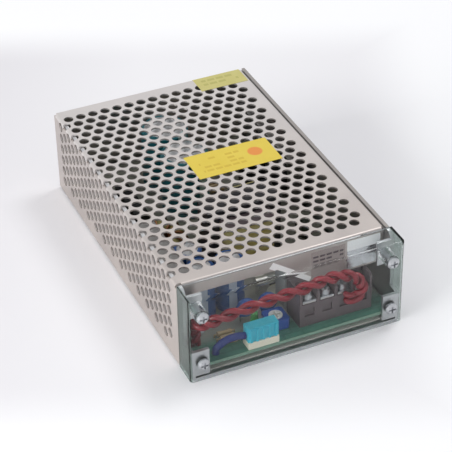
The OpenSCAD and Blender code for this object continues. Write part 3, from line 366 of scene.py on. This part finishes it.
def bright_metal(name, colour_a, colour_b, roughness, mark_mm):
    mat, nt, shader, mm = start(name, 1.0, roughness)
    marks = add(nt, "ShaderNodeTexNoise", {"Vector": mm, "Scale": 1 / mark_mm, "Detail": 2.0})
    paint(nt, shader, colour_a, (marks.outputs["Fac"], colour_b))
    rough = add(nt, "ShaderNodeMapRange", {
        "Value": marks.outputs["Fac"], "To Min": roughness - 0.08, "To Max": roughness + 0.12})
    nt.links.new(rough.outputs[0], shader.inputs["Roughness"])
    bump = add(nt, "ShaderNodeBump", {"Height": marks.outputs["Fac"], "Strength": 0.1, "Distance": 0.02 * MM})
    nt.links.new(bump.outputs[0], shader.inputs["Normal"])
    return mat


dress("plated_screw", bright_metal("bright_zinc_plate", "#AEB0B3", "#C9CBCE", 0.28, 0.3))
dress("tinned_metal", bright_metal("tinned_strip", "#C6C4BE", "#DEDCD6", 0.34, 0.5))
dress("turned_brass", bright_metal("turned_brass", "#C9A55C", "#DFC27E", 0.28, 0.4))

# %% [markdown]
# The terminal cover is clear polycarbonate, 0.8 mm thick. It bends and mirrors light, shows a
# faint waviness from the mould, and handling has left it slightly milky, so a very small share
# of it is a plain pale solid. Its index is set lower than the plastic's own 1.58, which thins
# the pale sky that it mirrors. The two side flanges are seen along the sheet rather than
# through it and take the grey green of its depth. Light from the lamps has to reach what is
# inside, so for shadow rays the wall counts as slightly grey air.

# %% Clear plastic
FLANGE_MM = 0.9


def clear_plastic(name, colour, ior, roughness, wave_mm, clearness, flange=None):
    mat, nt, shader, mm = start(name, 0.0, roughness)
    coats = []
    if flange:
        start_mm, deep = flange
        across = add(nt, "ShaderNodeSeparateXYZ", {0: mm}).outputs["X"]
        outward = add(nt, "ShaderNodeMath", {0: across}, operation="ABSOLUTE").outputs[0]
        beyond = add(nt, "ShaderNodeMath", {0: outward, 1: start_mm}, operation="GREATER_THAN")
        coats.append((beyond.outputs[0], deep))
    paint(nt, shader, colour, *coats)
    shader.inputs["IOR"].default_value = ior
    shader.inputs["Transmission Weight"].default_value = clearness
    wave = add(nt, "ShaderNodeTexNoise", {"Vector": mm, "Scale": 1 / wave_mm, "Detail": 1.0})
    bump = add(nt, "ShaderNodeBump", {"Height": wave.outputs["Fac"], "Strength": 0.25, "Distance": 0.4 * MM})
    nt.links.new(bump.outputs[0], shader.inputs["Normal"])
    light_path = add(nt, "ShaderNodeLightPath")
    pane = add(nt, "ShaderNodeBsdfTransparent", {"Color": linear("#D9DDDD")})
    shaded = add(nt, "ShaderNodeMixShader", {
        0: light_path.outputs["Is Shadow Ray"], 1: shader.outputs[0], 2: pane.outputs[0]})
    nt.links.new(shaded.outputs[0], nt.nodes["Material Output"].inputs["Surface"])
    return mat


flange_inside = corner_mm("clear_cover")[1][0] - FLANGE_MM
dress("clear_plastic", clear_plastic(
    "clear_polycarbonate", "#EEF0F0", 1.24, 0.03, 9.0, 0.996, (flange_inside, "#A3B0AA")))
dress("fuse_glass", clear_plastic("clear_glass_tube", "#F4F8F8", 1.5, 0.0, 20.0, 1.0))

# %% [markdown]
# Moulded plastics differ in colour and gloss but share one character: an even colour with a
# faint cloud in it, and a fine grain that the spark-eroded mould leaves on the skin.

# %% Moulded plastics


def moulded(name, colour_a, colour_b, roughness, grain_mm=0.25, relief_mm=0.02):
    mat, nt, shader, mm = start(name, 0.0, roughness)
    cloud = add(nt, "ShaderNodeTexNoise", {"Vector": mm, "Scale": 0.12, "Detail": 2.0})
    paint(nt, shader, colour_a, (cloud.outputs["Fac"], colour_b))
    grain = add(nt, "ShaderNodeTexNoise", {"Vector": mm, "Scale": 1 / grain_mm, "Detail": 1.0})
    rough = add(nt, "ShaderNodeMapRange", {
        "Value": grain.outputs["Fac"], "To Min": roughness - 0.06, "To Max": roughness + 0.08})
    nt.links.new(rough.outputs[0], shader.inputs["Roughness"])
    bump = add(nt, "ShaderNodeBump", {
        "Height": grain.outputs["Fac"], "Strength": 0.3, "Distance": relief_mm * MM})
    nt.links.new(bump.outputs[0], shader.inputs["Normal"])
    return mat


dress("black_moulding", moulded("brown_grey_polyester_moulding", "#5E5255", "#6C5F62", 0.42))
dress("trimmer_blue", moulded("blue_moulded_trimmer", "#1F4FA8", "#2A62C0", 0.36))
dress("rotor_white", moulded("white_acetal", "#EDEDE6", "#F7F7F2", 0.4))
dress("header_cream", moulded("natural_nylon", "#EFE7D0", "#F6F0DE", 0.45))
dress("plug_cyan", moulded("cyan_nylon", "#2FB4CC", "#46C8DC", 0.38))
dress("lead_blue", moulded("dark_blue_sleeving", "#1D2A66", "#273A80", 0.5, 0.6, 0.05))
dress("resistor_beige", moulded("beige_resistor_lacquer", "#C2A67C", "#CDB48D", 0.4, 0.8, 0.03))
dress("film_grey", moulded("grey_boxed_film_capacitor", "#A7A8A6", "#B5B6B3", 0.45))
dress("insulating_film", moulded("milky_polyester_film", "#DCD8D0", "#E6E2DA", 0.35))

# %% [markdown]
# Dipped parts are dunked in liquid epoxy, which pulls itself smooth as it cures. Their skins
# are glossy, with a slow unevenness a few millimetres long, and their legs stay bare.

# %% Dipped coatings
DIPPED_LEG_MM = 2.2


def dipped(name, colour_a, colour_b, roughness, leg_top):
    mat, nt, shader, mm = start(name, 0.0, roughness)
    slow = add(nt, "ShaderNodeTexNoise", {"Vector": mm, "Scale": 0.35, "Detail": 1.0})
    axes = add(nt, "ShaderNodeSeparateXYZ", {0: mm})
    leg = add(nt, "ShaderNodeMath", {0: axes.outputs["Z"], 1: leg_top}, operation="LESS_THAN")
    paint(nt, shader, colour_a, (slow.outputs["Fac"], colour_b), (leg.outputs[0], "#C9C7C1"))
    nt.links.new(leg.outputs[0], shader.inputs["Metallic"])
    bump = add(nt, "ShaderNodeBump", {"Height": slow.outputs["Fac"], "Strength": 0.3, "Distance": 0.15 * MM})
    nt.links.new(bump.outputs[0], shader.inputs["Normal"])
    return mat


board_top = corner_mm("circuit_board")[1][2]
dipped_leg_top = board_top + DIPPED_LEG_MM
dress("dipped_blue", dipped("blue_dipped_epoxy", "#2158A8", "#3270C4", 0.2, dipped_leg_top))
dress("thermistor_coat", dipped("dark_green_dipped_coating", "#26301F", "#35402C", 0.45, dipped_leg_top))

# %% [markdown]
# Power packages and small chips are black epoxy with tinned legs, and each power package has a
# bare metal tab against its heatsink. One material finds them by place: below the body are the
# legs, and beyond the body, next to the heatsink, is the tab.

# %% Black epoxy with bare metal
TAB_MM = 1.3
PACKAGE_LEG_MM = 4.0


def epoxy_package(name, leg_top, tab_from):
    mat, nt, shader, mm = start(name, 0.0, 0.5)
    axes = add(nt, "ShaderNodeSeparateXYZ", {0: mm})
    side = add(nt, "ShaderNodeMath", {0: axes.outputs["X"]}, operation="ABSOLUTE")
    tab = add(nt, "ShaderNodeMath", {0: side.outputs[0], 1: tab_from}, operation="GREATER_THAN")
    leg = add(nt, "ShaderNodeMath", {0: axes.outputs["Z"], 1: leg_top}, operation="LESS_THAN")
    bare = add(nt, "ShaderNodeMath", {0: tab.outputs[0], 1: leg.outputs[0]}, operation="MAXIMUM")
    paint(nt, shader, "#1E1E20", (bare.outputs[0], "#C4C3BF"))
    nt.links.new(bare.outputs[0], shader.inputs["Metallic"])
    rough = add(nt, "ShaderNodeMapRange", {"Value": bare.outputs[0], "To Min": 0.5, "To Max": 0.32})
    nt.links.new(rough.outputs[0], shader.inputs["Roughness"])
    grain = add(nt, "ShaderNodeTexNoise", {"Vector": mm, "Scale": 4.0, "Detail": 1.0})
    bump = add(nt, "ShaderNodeBump", {
        "Height": grain.outputs["Fac"], "Strength": 0.25, "Distance": 0.03 * MM})
    nt.links.new(bump.outputs[0], shader.inputs["Normal"])
    return mat


sink_face = -corner_mm("output_rectifier_1")[0][0]
dress("epoxy_black", epoxy_package(
    "black_epoxy_on_a_metal_tab", board_top + PACKAGE_LEG_MM, sink_face - TAB_MM))
for chip, leg_mm in (("control_chip", 0.6), ("optocoupler", 0.6), ("bridge_rectifier", 3.0)):
    finish_node(chip, epoxy_package("black_epoxy_" + chip, board_top + leg_mm, OUT_OF_REACH))

# %% [markdown]
# A can capacitor is a drawn aluminium can in a shrunk plastic sleeve. The sleeve wraps over the
# shoulder and leaves the scored top bare, and a pale stripe runs down its negative side.

# %% Sleeved cans
SLEEVE_LAP_MM, TOP_DEPTH_MM = 1.7, 1.2
STRIPE_HALF_ANGLE = 0.28


def sleeved_can(node_name, sleeve, stripe, stripe_turn):
    low, high = corner_mm(node_name)
    middle = [(low[i] + high[i]) / 2 for i in (0, 1)]
    radius = (high[0] - low[0]) / 2
    mat, nt, shader, mm = start("sleeved_can_" + node_name, 0.0, 0.3)
    local = add(nt, "ShaderNodeMapping", {"Vector": mm, "Location": (-middle[0], -middle[1], -high[2])})
    axes = add(nt, "ShaderNodeSeparateXYZ", {0: local.outputs[0]})
    flat = add(nt, "ShaderNodeCombineXYZ", {0: axes.outputs["X"], 1: axes.outputs["Y"]})
    out = add(nt, "ShaderNodeVectorMath", {0: flat.outputs[0]}, operation="LENGTH").outputs["Value"]
    inside = add(nt, "ShaderNodeMath", {0: out, 1: radius - SLEEVE_LAP_MM}, operation="LESS_THAN")
    above = add(nt, "ShaderNodeMath", {0: axes.outputs["Z"], 1: -TOP_DEPTH_MM}, operation="GREATER_THAN")
    bare = every(nt, [inside.outputs[0], above.outputs[0]])
    angle = add(nt, "ShaderNodeMath", {0: axes.outputs["Y"], 1: axes.outputs["X"]}, operation="ARCTAN2")
    away = add(nt, "ShaderNodeMath", {
        0: angle.outputs[0], 1: math.radians(stripe_turn)}, operation="SUBTRACT")
    width = add(nt, "ShaderNodeMath", {0: away.outputs[0]}, operation="ABSOLUTE")
    band = add(nt, "ShaderNodeMath", {0: width.outputs[0], 1: STRIPE_HALF_ANGLE}, operation="LESS_THAN")
    paint(nt, shader, sleeve, (band.outputs[0], stripe), (bare, "#D4D5D6"))
    nt.links.new(bare, shader.inputs["Metallic"])
    slack = add(nt, "ShaderNodeTexNoise", {"Vector": mm, "Scale": 0.5, "Detail": 1.0})
    bump = add(nt, "ShaderNodeBump", {"Height": slack.outputs["Fac"], "Strength": 0.2, "Distance": 0.1 * MM})
    nt.links.new(bump.outputs[0], shader.inputs["Normal"])
    finish_node(node_name, mat)


for can in ("bulk_capacitor_1", "bulk_capacitor_2"):
    sleeved_can(can, "#1F6E78", "#B9D6D4", -60)
for can in ("output_capacitor_1", "output_capacitor_2", "output_capacitor_3"):
    sleeved_can(can, "#2F5E9E", "#C9D4E2", -100)
for can in ("aux_capacitor_1", "aux_capacitor_2"):
    sleeved_can(can, "#16181E", "#8D9098", 150)

# %% [markdown]
# Ferrite is a pressed black ceramic: dense, cool grey and barely shiny, with tiny pits. The ring
# cores are painted over it. The load resistor is a rough white ceramic block.

# %% Ceramics


def pressed_ceramic(name, colour_a, colour_b, roughness, pit_mm):
    mat, nt, shader, mm = start(name, 0.0, roughness)
    pits = add(nt, "ShaderNodeTexVoronoi", {"Vector": mm, "Scale": 1 / pit_mm})
    paint(nt, shader, colour_b, (pits.outputs["Distance"], colour_a))
    bump = add(nt, "ShaderNodeBump", {
        "Height": pits.outputs["Distance"], "Strength": 0.3, "Distance": 0.05 * MM})
    nt.links.new(bump.outputs[0], shader.inputs["Normal"])
    return mat


dress("ferrite_grey", pressed_ceramic("pressed_ferrite", "#3A3A3E", "#2B2B2F", 0.5, 0.4))
dress("choke_ferrite", pressed_ceramic("coated_ferrite_ring", "#2E3A30", "#243026", 0.35, 0.6))
dress("core_yellow", pressed_ceramic("painted_powder_core", "#BDB274", "#ACA060", 0.42, 0.6))
dress("resistor_ceramic", pressed_ceramic("white_resistor_ceramic", "#E8E6DE", "#D6D3C8", 0.75, 0.5))

# %% [markdown]
# The transformer is wrapped in pale yellow polyester tape, wound in flat laps. The edge of each
# lap shows as a faint line round the winding. Magnet wire is copper under a clear brown enamel.

# %% Tape and enamelled wire


def winding_tape():
    mat, nt, shader, mm = start("yellow_polyester_tape", 0.0, 0.28)
    laps = add(nt, "ShaderNodeTexWave", {
        "Vector": mm, "Scale": 0.06, "Distortion": 0.4}, bands_direction="Z")
    paint(nt, shader, "#D2C070", (laps.outputs["Fac"], "#E6D998"))
    bump = add(nt, "ShaderNodeBump", {"Height": laps.outputs["Fac"], "Strength": 0.3, "Distance": 0.1 * MM})
    nt.links.new(bump.outputs[0], shader.inputs["Normal"])
    return mat


dress("tape_yellow", winding_tape())
dress("enamelled_copper", bright_metal("enamelled_copper_wire", "#93694C", "#A87C5C", 0.3, 0.8))

# %% [markdown]
# The board is glass cloth and epoxy under green solder mask. Tracks show through the mask as
# lighter paths a millimetre or two wide, and the sawn edge is bare, greenish yellow laminate.
# Behind the lip the mask turns mostly to a dull grey brown over the first 8 mm, while the strip
# by the terminals stays green.

# %% Board laminate
GREY_BROWN_REACH_MM, GREY_BROWN_MOST = 8.0, 0.75


def board_laminate():
    mat, nt, shader, mm = start("green_solder_mask_on_glass_epoxy", 0.0, 0.3)
    tracks = add(nt, "ShaderNodeTexBrick", {
        "Vector": mm, "Scale": 1.0, "Mortar Size": 0.35, "Brick Width": 9.0, "Row Height": 3.2})
    weave = add(nt, "ShaderNodeTexNoise", {"Vector": mm, "Scale": 1.4, "Detail": 2.0})
    back = add(nt, "ShaderNodeSeparateXYZ", {0: mm}).outputs["Y"]
    # The board turns grey brown over the first millimetres behind the lip.
    grey_brown_behind_lip = add(nt, "ShaderNodeMapRange", {
        "Value": back, "From Min": LIP_Y, "From Max": LIP_Y + GREY_BROWN_REACH_MM,
        "To Min": 0.0, "To Max": GREY_BROWN_MOST})
    facing = add(nt, "ShaderNodeSeparateXYZ", {0: add(nt, "ShaderNodeNewGeometry").outputs["Normal"]})
    level = add(nt, "ShaderNodeMath", {0: facing.outputs["Z"]}, operation="ABSOLUTE")
    sawn = add(nt, "ShaderNodeMath", {0: level.outputs[0], 1: 0.5}, operation="LESS_THAN")
    paint(nt, shader, "#53907C", (tracks.outputs["Fac"], "#3A6B5C"), (weave.outputs["Fac"], "#467E6C"),
          (grey_brown_behind_lip.outputs[0], "#B8AEA4"), (sawn.outputs[0], "#7FA08C"))
    bump = add(nt, "ShaderNodeBump", {
        "Height": tracks.outputs["Fac"], "Strength": 0.4, "Distance": 0.05 * MM})
    nt.links.new(bump.outputs[0], shader.inputs["Normal"])
    return mat


dress("board_laminate", board_laminate())

# %% [markdown]
# Stickers are coated paper or film. The coating is nearly smooth, and the paper fibres give it
# a slight unevenness. Print is left generic: plain bars in rows and one round spot. A bar's
# place comes from dividing the coordinates into cells, and white noise on the cell's number
# leaves some bars out, so the rows look uneven. The foil patch is metallised film with an
# embossed net, which breaks its mirror into small facets. Its upper half is painted matt white,
# a painted glare.

# %% Stickers
ROW_FILL, BAR_FILL, LEFT_OUT = 0.5, 0.8, 0.3
SPOT_EDGE_MM = 0.6


def printed_rows(nt, across, up, field, row_mm, bar_mm):
    """A mask of plain bars in rows inside a field (low and high across, low and high up)."""
    numbers, masks = [], []
    for value, pitch, fill in ((up, row_mm, ROW_FILL), (across, bar_mm, BAR_FILL)):
        cells = add(nt, "ShaderNodeMath", {0: value, 1: pitch}, operation="DIVIDE").outputs[0]
        numbers.append(add(nt, "ShaderNodeMath", {0: cells}, operation="FLOOR").outputs[0])
        part = add(nt, "ShaderNodeMath", {0: cells}, operation="FRACT").outputs[0]
        masks.append(add(nt, "ShaderNodeMath", {0: part, 1: fill}, operation="LESS_THAN").outputs[0])
    cell = add(nt, "ShaderNodeCombineXYZ", {0: numbers[1], 1: numbers[0]})
    chance = add(nt, "ShaderNodeTexWhiteNoise", {"Vector": cell.outputs[0]}, noise_dimensions="3D")
    inked = add(nt, "ShaderNodeMath", {0: chance.outputs["Value"], 1: LEFT_OUT}, operation="GREATER_THAN")
    in_field = [between(nt, across, field[0], field[1]), between(nt, up, field[2], field[3])]
    return every(nt, masks + [inked.outputs[0]] + in_field)


def sticker(name, colour_a, colour_b, roughness, ink, up_axis, field, row_mm, bar_mm, disc=None):
    mat, nt, shader, mm = start(name, 0.0, roughness)
    fibre = add(nt, "ShaderNodeTexNoise", {"Vector": mm, "Scale": 1.5, "Detail": 3.0})
    cloud = add(nt, "ShaderNodeTexNoise", {"Vector": mm, "Scale": 0.15, "Detail": 1.0})
    axes = add(nt, "ShaderNodeSeparateXYZ", {0: mm})
    bars = printed_rows(nt, axes.outputs["X"], axes.outputs[up_axis], field, row_mm, bar_mm)
    coats = [(cloud.outputs["Fac"], colour_b), (bars, ink)]
    if disc:
        middle, radius, colour = disc
        local = add(nt, "ShaderNodeVectorMath", {0: mm, 1: middle}, operation="SUBTRACT")
        out = add(nt, "ShaderNodeVectorMath", {0: local.outputs[0]}, operation="LENGTH")
        spot = add(nt, "ShaderNodeMapRange", {
            "Value": out.outputs["Value"], "From Min": radius - SPOT_EDGE_MM, "From Max": radius,
            "To Min": 1.0, "To Max": 0.0})
        coats.append((spot.outputs[0], colour))
    paint(nt, shader, colour_a, *coats)
    bump = add(nt, "ShaderNodeBump", {
        "Height": fibre.outputs["Fac"], "Strength": 0.15, "Distance": 0.03 * MM})
    nt.links.new(bump.outputs[0], shader.inputs["Normal"])
    return mat


def embossed_foil(field, glare_above, row_mm, bar_mm):
    mat, nt, shader, mm = start("embossed_silver_foil", 1.0, 0.24)
    net = add(nt, "ShaderNodeTexVoronoi", {"Vector": mm, "Scale": 1.2})
    axes = add(nt, "ShaderNodeSeparateXYZ", {0: mm})
    # A painted glare: the upper part of the foil is painted matt white, with no metal.
    painted_glare = add(nt, "ShaderNodeMath", {0: axes.outputs["Z"], 1: glare_above}, operation="GREATER_THAN")
    bars = printed_rows(nt, axes.outputs["X"], axes.outputs["Z"], field, row_mm, bar_mm)
    paint(nt, shader, "#D2D4D6", (net.outputs["Distance"], "#B4B6BA"), (painted_glare.outputs[0], "#F7F8F9"),
          (bars, "#3A3538"))
    glare_or_ink = add(nt, "ShaderNodeMath", {0: painted_glare.outputs[0], 1: bars}, operation="MAXIMUM")
    mirror = add(nt, "ShaderNodeMath", {0: 1.0, 1: glare_or_ink.outputs[0]}, operation="SUBTRACT")
    nt.links.new(mirror.outputs[0], shader.inputs["Metallic"])
    bump = add(nt, "ShaderNodeBump", {
        "Height": net.outputs["Distance"], "Strength": 0.35, "Distance": 0.1 * MM})
    nt.links.new(bump.outputs[0], shader.inputs["Normal"])
    return mat


# %% [markdown]
# Each sticker's field of print is given from the sticker's own corners, so it follows if the
# sticker moves. The numbers after the field are the pitch of the rows and of the bars.

# %% Labels on the case
low, high = corner_mm("top_label")
mark = (low[0] + 31.2, (low[1] + high[1]) / 2 + 1.0, high[2])
dress("label_yellow", sticker(
    "yellow_coated_paper", "#D6BC38", "#DDC64A", 0.42, "#CCAE30", "Y",
    (low[0] + 4, low[0] + 24.5, low[1] + 3.5, high[1] - 3.5), 3.0, 4.1, (mark, 3.7, "#DE8A38")))
low, high = corner_mm("seal_sticker")
dress("seal_olive", sticker(
    "olive_seal_paper", "#BDB468", "#C6BE78", 0.42, "#AFA95C", "Y",
    (low[0] + 3, high[0] - 3, low[1] + 2.5, high[1] - 3), 3.4, 4.5))
low, high = corner_mm("lip_label")
dress("label_grey", sticker(
    "sheet_grey_sticker", "#968A87", "#A29591", 0.4, "#3E2830", "Z",
    (low[0] + 0.8, high[0] - 0.8, low[2] + 4.0, low[2] + 11.0), 2.0, 3.1))
low, high = corner_mm("foil_patch")
# Where the painted glare on the foil begins.
glare_above = low[2] + 8.4
dress("foil_silver", embossed_foil(
    (low[0] + 6, high[0] - 1, low[2] + 4.8, glare_above), glare_above, 2.0, 3.0))

# %% [markdown]
# The small indicator lamp beside the trimmer is cast from clear green epoxy. It is the same kind
# of finish as the cover, with a deeper colour and with less of the light passing.

# %% Indicator lamp
dress("lamp_green", clear_plastic("green_tinted_epoxy", "#7BE07A", 1.5, 0.1, 5.0, 0.7))

# %% [markdown]
# Two red wires leave the terminals, bend upwards and cross the bay, twisted together, to the
# left wall. Their middle line is a short list of points that a smooth curve joins. A short thick
# blue sleeve runs in the same way from the plug down to the board.

# %% Wire routes
CHASSIS_WALL, COVER_WALL = 1.5, 0.8
WIRE_D, WIRE_GAP, LEAD_D = 2.5, 0.4, 3.2
BEHIND_COVER, LAID_OUT_HALF = 3.9, 46.5
wall_in = -corner_mm("chassis")[0][0] - CHASSIS_WALL
spread = wall_in / LAID_OUT_HALF
wire_rise = board_top + 0.3
wire_foot = board_top + 10
wire_y = corner_mm("clear_cover")[0][1] + COVER_WALL + BEHIND_COVER
wire_end = -wall_in + 6
block_front = corner_mm("terminal_block")[0][1]
WIRE_POINTS = [
    (25.4 * spread, block_front - 0.2, wire_foot), (25.6 * spread, wire_y + 1.25, wire_foot),
    (27.5 * spread, wire_y + 0.25, wire_foot + 0.1), (30.4 * spread, wire_y, wire_foot + 1.5),
    (31.6 * spread, wire_y, 21.2), (30 * spread, wire_y, 25.2), (25.4 * spread, wire_y, 28.8),
    (18 * spread, wire_y, 30.4), (11 * spread, wire_y, 29.8), (3 * spread, wire_y, 28.8),
    (-6 * spread, wire_y, 28.2), (-15 * spread, wire_y, 27.6), (-25 * spread, wire_y, 26.8),
    (-34 * spread, wire_y, 25.8), (wire_end + 0.5, wire_y + 1.5, 24), (wire_end - 1, wire_y + 7, 21),
    (wire_end, wire_y + 10.5, 15), (wire_end, wire_y + 11, wire_rise + 3), (wire_end, wire_y + 11, wire_rise),
]
plug_low, plug_high = corner_mm("control_plug")
lead_x = plug_low[0]
lead_y = (plug_low[1] + plug_high[1]) / 2
LEAD_POINTS = [
    (lead_x - 0.4, lead_y, 12), (lead_x - 4, lead_y, 12.8), (lead_x - 8.5, lead_y + 0.3, 12.2),
    (lead_x - 12.2, lead_y + 0.7, 9.8), (lead_x - 13.2, lead_y + 0.9, wire_rise + 1.6),
    (lead_x - 13.2, lead_y + 0.9, wire_rise),
]
WIRE_STEPS, LEAD_STEPS = 12, 8
TWIST_TURNS, TWIST_FROM, TWIST_TO = 8.0, 2.8, 17.2


def smooth_route(points, steps):
    """Points along a Catmull-Rom curve through the given ones, in metres."""
    ends = [points[0]] + list(points) + [points[-1]]
    made = []
    for i in range(len(points) - 1):
        p0, p1, p2, p3 = (Vector(p) for p in ends[i : i + 4])
        for step in range(steps):
            t = step / steps
            made.append(0.5 * (2 * p1 + (p2 - p0) * t + (2 * p0 - 5 * p1 + 4 * p2 - p3) * t**2
                               + (3 * p1 - p0 - 3 * p2 + p3) * t**3) * MM)
    made.append(Vector(points[-1]) * MM)
    return made


# %% [markdown]
# A Geometry Nodes tree moves the curve out sideways by a little more than a wire's radius,
# turning as it goes, and runs a round profile along it. The sideways direction is the cross
# product of the curve's tangent with one fixed slanting line, so it never flips. The twist runs
# between two numbered points of the curve, so both ends of the wires stay straight.

# %% Twisted wire tree


def twisted_wire_tree(material):
    """Runs a round wire along a curve, wound round it at a distance."""
    nt = bpy.data.node_groups.new("twisted_wire", "GeometryNodeTree")
    face = nt.interface
    face.new_socket("Curve", in_out="INPUT", socket_type="NodeSocketGeometry")
    for name, default in (("Wire Radius", 0.001), ("Offset", 0.001), ("Turns", 1.0), ("Phase", 0.0),
                          ("Twist From", 0.0), ("Twist To", 1.0)):
        face.new_socket(name, in_out="INPUT", socket_type="NodeSocketFloat").default_value = default
    face.new_socket("Mesh", in_out="OUTPUT", socket_type="NodeSocketGeometry")
    given = add(nt, "NodeGroupInput")
    along = add(nt, "GeometryNodeSplineParameter")
    held = add(nt, "ShaderNodeMapRange", {
        "Value": along.outputs["Index"], "From Min": given.outputs["Twist From"],
        "From Max": given.outputs["Twist To"]})
    turned = add(nt, "ShaderNodeMath", {0: held.outputs[0], 1: given.outputs["Turns"]}, operation="MULTIPLY")
    shifted = add(nt, "ShaderNodeMath", {0: turned.outputs[0], 1: given.outputs["Phase"]}, operation="ADD")
    angle = add(nt, "ShaderNodeMath", {0: shifted.outputs[0], 1: 2 * math.pi}, operation="MULTIPLY")
    tangent = add(nt, "GeometryNodeInputTangent").outputs[0]
    slant = add(nt, "ShaderNodeVectorMath", {0: tangent, 1: (1, 1, 1)}, operation="CROSS_PRODUCT")
    out = add(nt, "ShaderNodeVectorMath", {0: slant.outputs[0]}, operation="NORMALIZE")
    spun = add(nt, "ShaderNodeVectorRotate", {
        "Vector": out.outputs[0], "Axis": tangent, "Angle": angle.outputs[0]})
    moved = add(nt, "ShaderNodeVectorMath", {
        0: spun.outputs[0], "Scale": given.outputs["Offset"]}, operation="SCALE")
    wound = add(nt, "GeometryNodeSetPosition", {
        "Geometry": given.outputs["Curve"], "Offset": moved.outputs[0]})
    profile = add(nt, "GeometryNodeCurvePrimitiveCircle", {
        "Resolution": 16, "Radius": given.outputs["Wire Radius"]})
    tube = add(nt, "GeometryNodeCurveToMesh", {
        "Curve": wound.outputs[0], "Profile Curve": profile.outputs[0], "Fill Caps": True})
    smooth = add(nt, "GeometryNodeSetShadeSmooth", {"Geometry": tube.outputs[0]})
    whole = add(nt, "GeometryNodeRealizeInstances", {"Geometry": smooth.outputs[0]})
    coloured = add(nt, "GeometryNodeSetMaterial", {"Geometry": whole.outputs[0], "Material": material})
    add(nt, "NodeGroupOutput", {0: coloured.outputs[0]})
    return nt


def set_input(modifier, name, value):
    """Sets a tree's named input on its modifier, by the socket's identifier."""
    for item in modifier.node_group.interface.items_tree:
        if item.item_type == "SOCKET" and item.in_out == "INPUT" and item.name == name:
            modifier[item.identifier] = value


def settle(name, source):
    """Turns an object's evaluated result into a plain mesh object and removes the source."""
    graph = bpy.context.evaluated_depsgraph_get()
    mesh = bpy.data.meshes.new_from_object(source.evaluated_get(graph))
    made = bpy.data.objects.new(name, mesh)
    bpy.context.scene.collection.objects.link(made)
    bpy.data.objects.remove(source)
    print(name, "faces:", len(mesh.polygons))
    return made


def run_wire(name, points, tree, values):
    """A wire along points, made by a tree with the given inputs."""
    line = bpy.data.curves.new(name + "_line", "CURVE")
    line.dimensions = "3D"
    line.twist_mode = "MINIMUM"
    spline = line.splines.new("POLY")
    spline.points.add(len(points) - 1)
    for dot, place in zip(spline.points, points):
        dot.co = (*place, 1)
    source = bpy.data.objects.new(name + "_line", line)
    bpy.context.scene.collection.objects.link(source)
    modifier = source.modifiers.new("wire", "NODES")
    modifier.node_group = tree
    for key, value in values.items():
        set_input(modifier, key, value)
    return settle(name, source)


# %% [markdown]
# The second red wire is the same tree with half a turn more, so the two lie on opposite sides of
# their middle line. The blue sleeve takes the tree with no twist and no step sideways.

# %% Lay the wires
red_pvc = moulded("red_pvc_insulation", "#78081A", "#8C1426", 0.3, 0.8, 0.03)
dress("wire_red", red_pvc)
wire_tree = twisted_wire_tree(red_pvc)
centre_line = smooth_route(WIRE_POINTS, WIRE_STEPS)
for node_name, phase in (("red_wire_front", -0.125), ("red_wire_rear", 0.375)):
    wire = run_wire(node_name + "_round", centre_line, wire_tree, {
        "Wire Radius": WIRE_D / 2 * MM, "Offset": (WIRE_D + WIRE_GAP) / 2 * MM,
        "Turns": TWIST_TURNS, "Phase": phase,
        "Twist From": TWIST_FROM * WIRE_STEPS, "Twist To": TWIST_TO * WIRE_STEPS})
    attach(wire, BODY)
    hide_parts(node_name)

lead_tree = twisted_wire_tree(nodes["blue_lead"].data.materials[0])
lead = run_wire("blue_lead_round", smooth_route(LEAD_POINTS, LEAD_STEPS), lead_tree, {
    "Wire Radius": LEAD_D / 2 * MM, "Offset": 0.0, "Turns": 0.0, "Phase": 0.0})
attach(lead, BODY)
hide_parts("blue_lead")
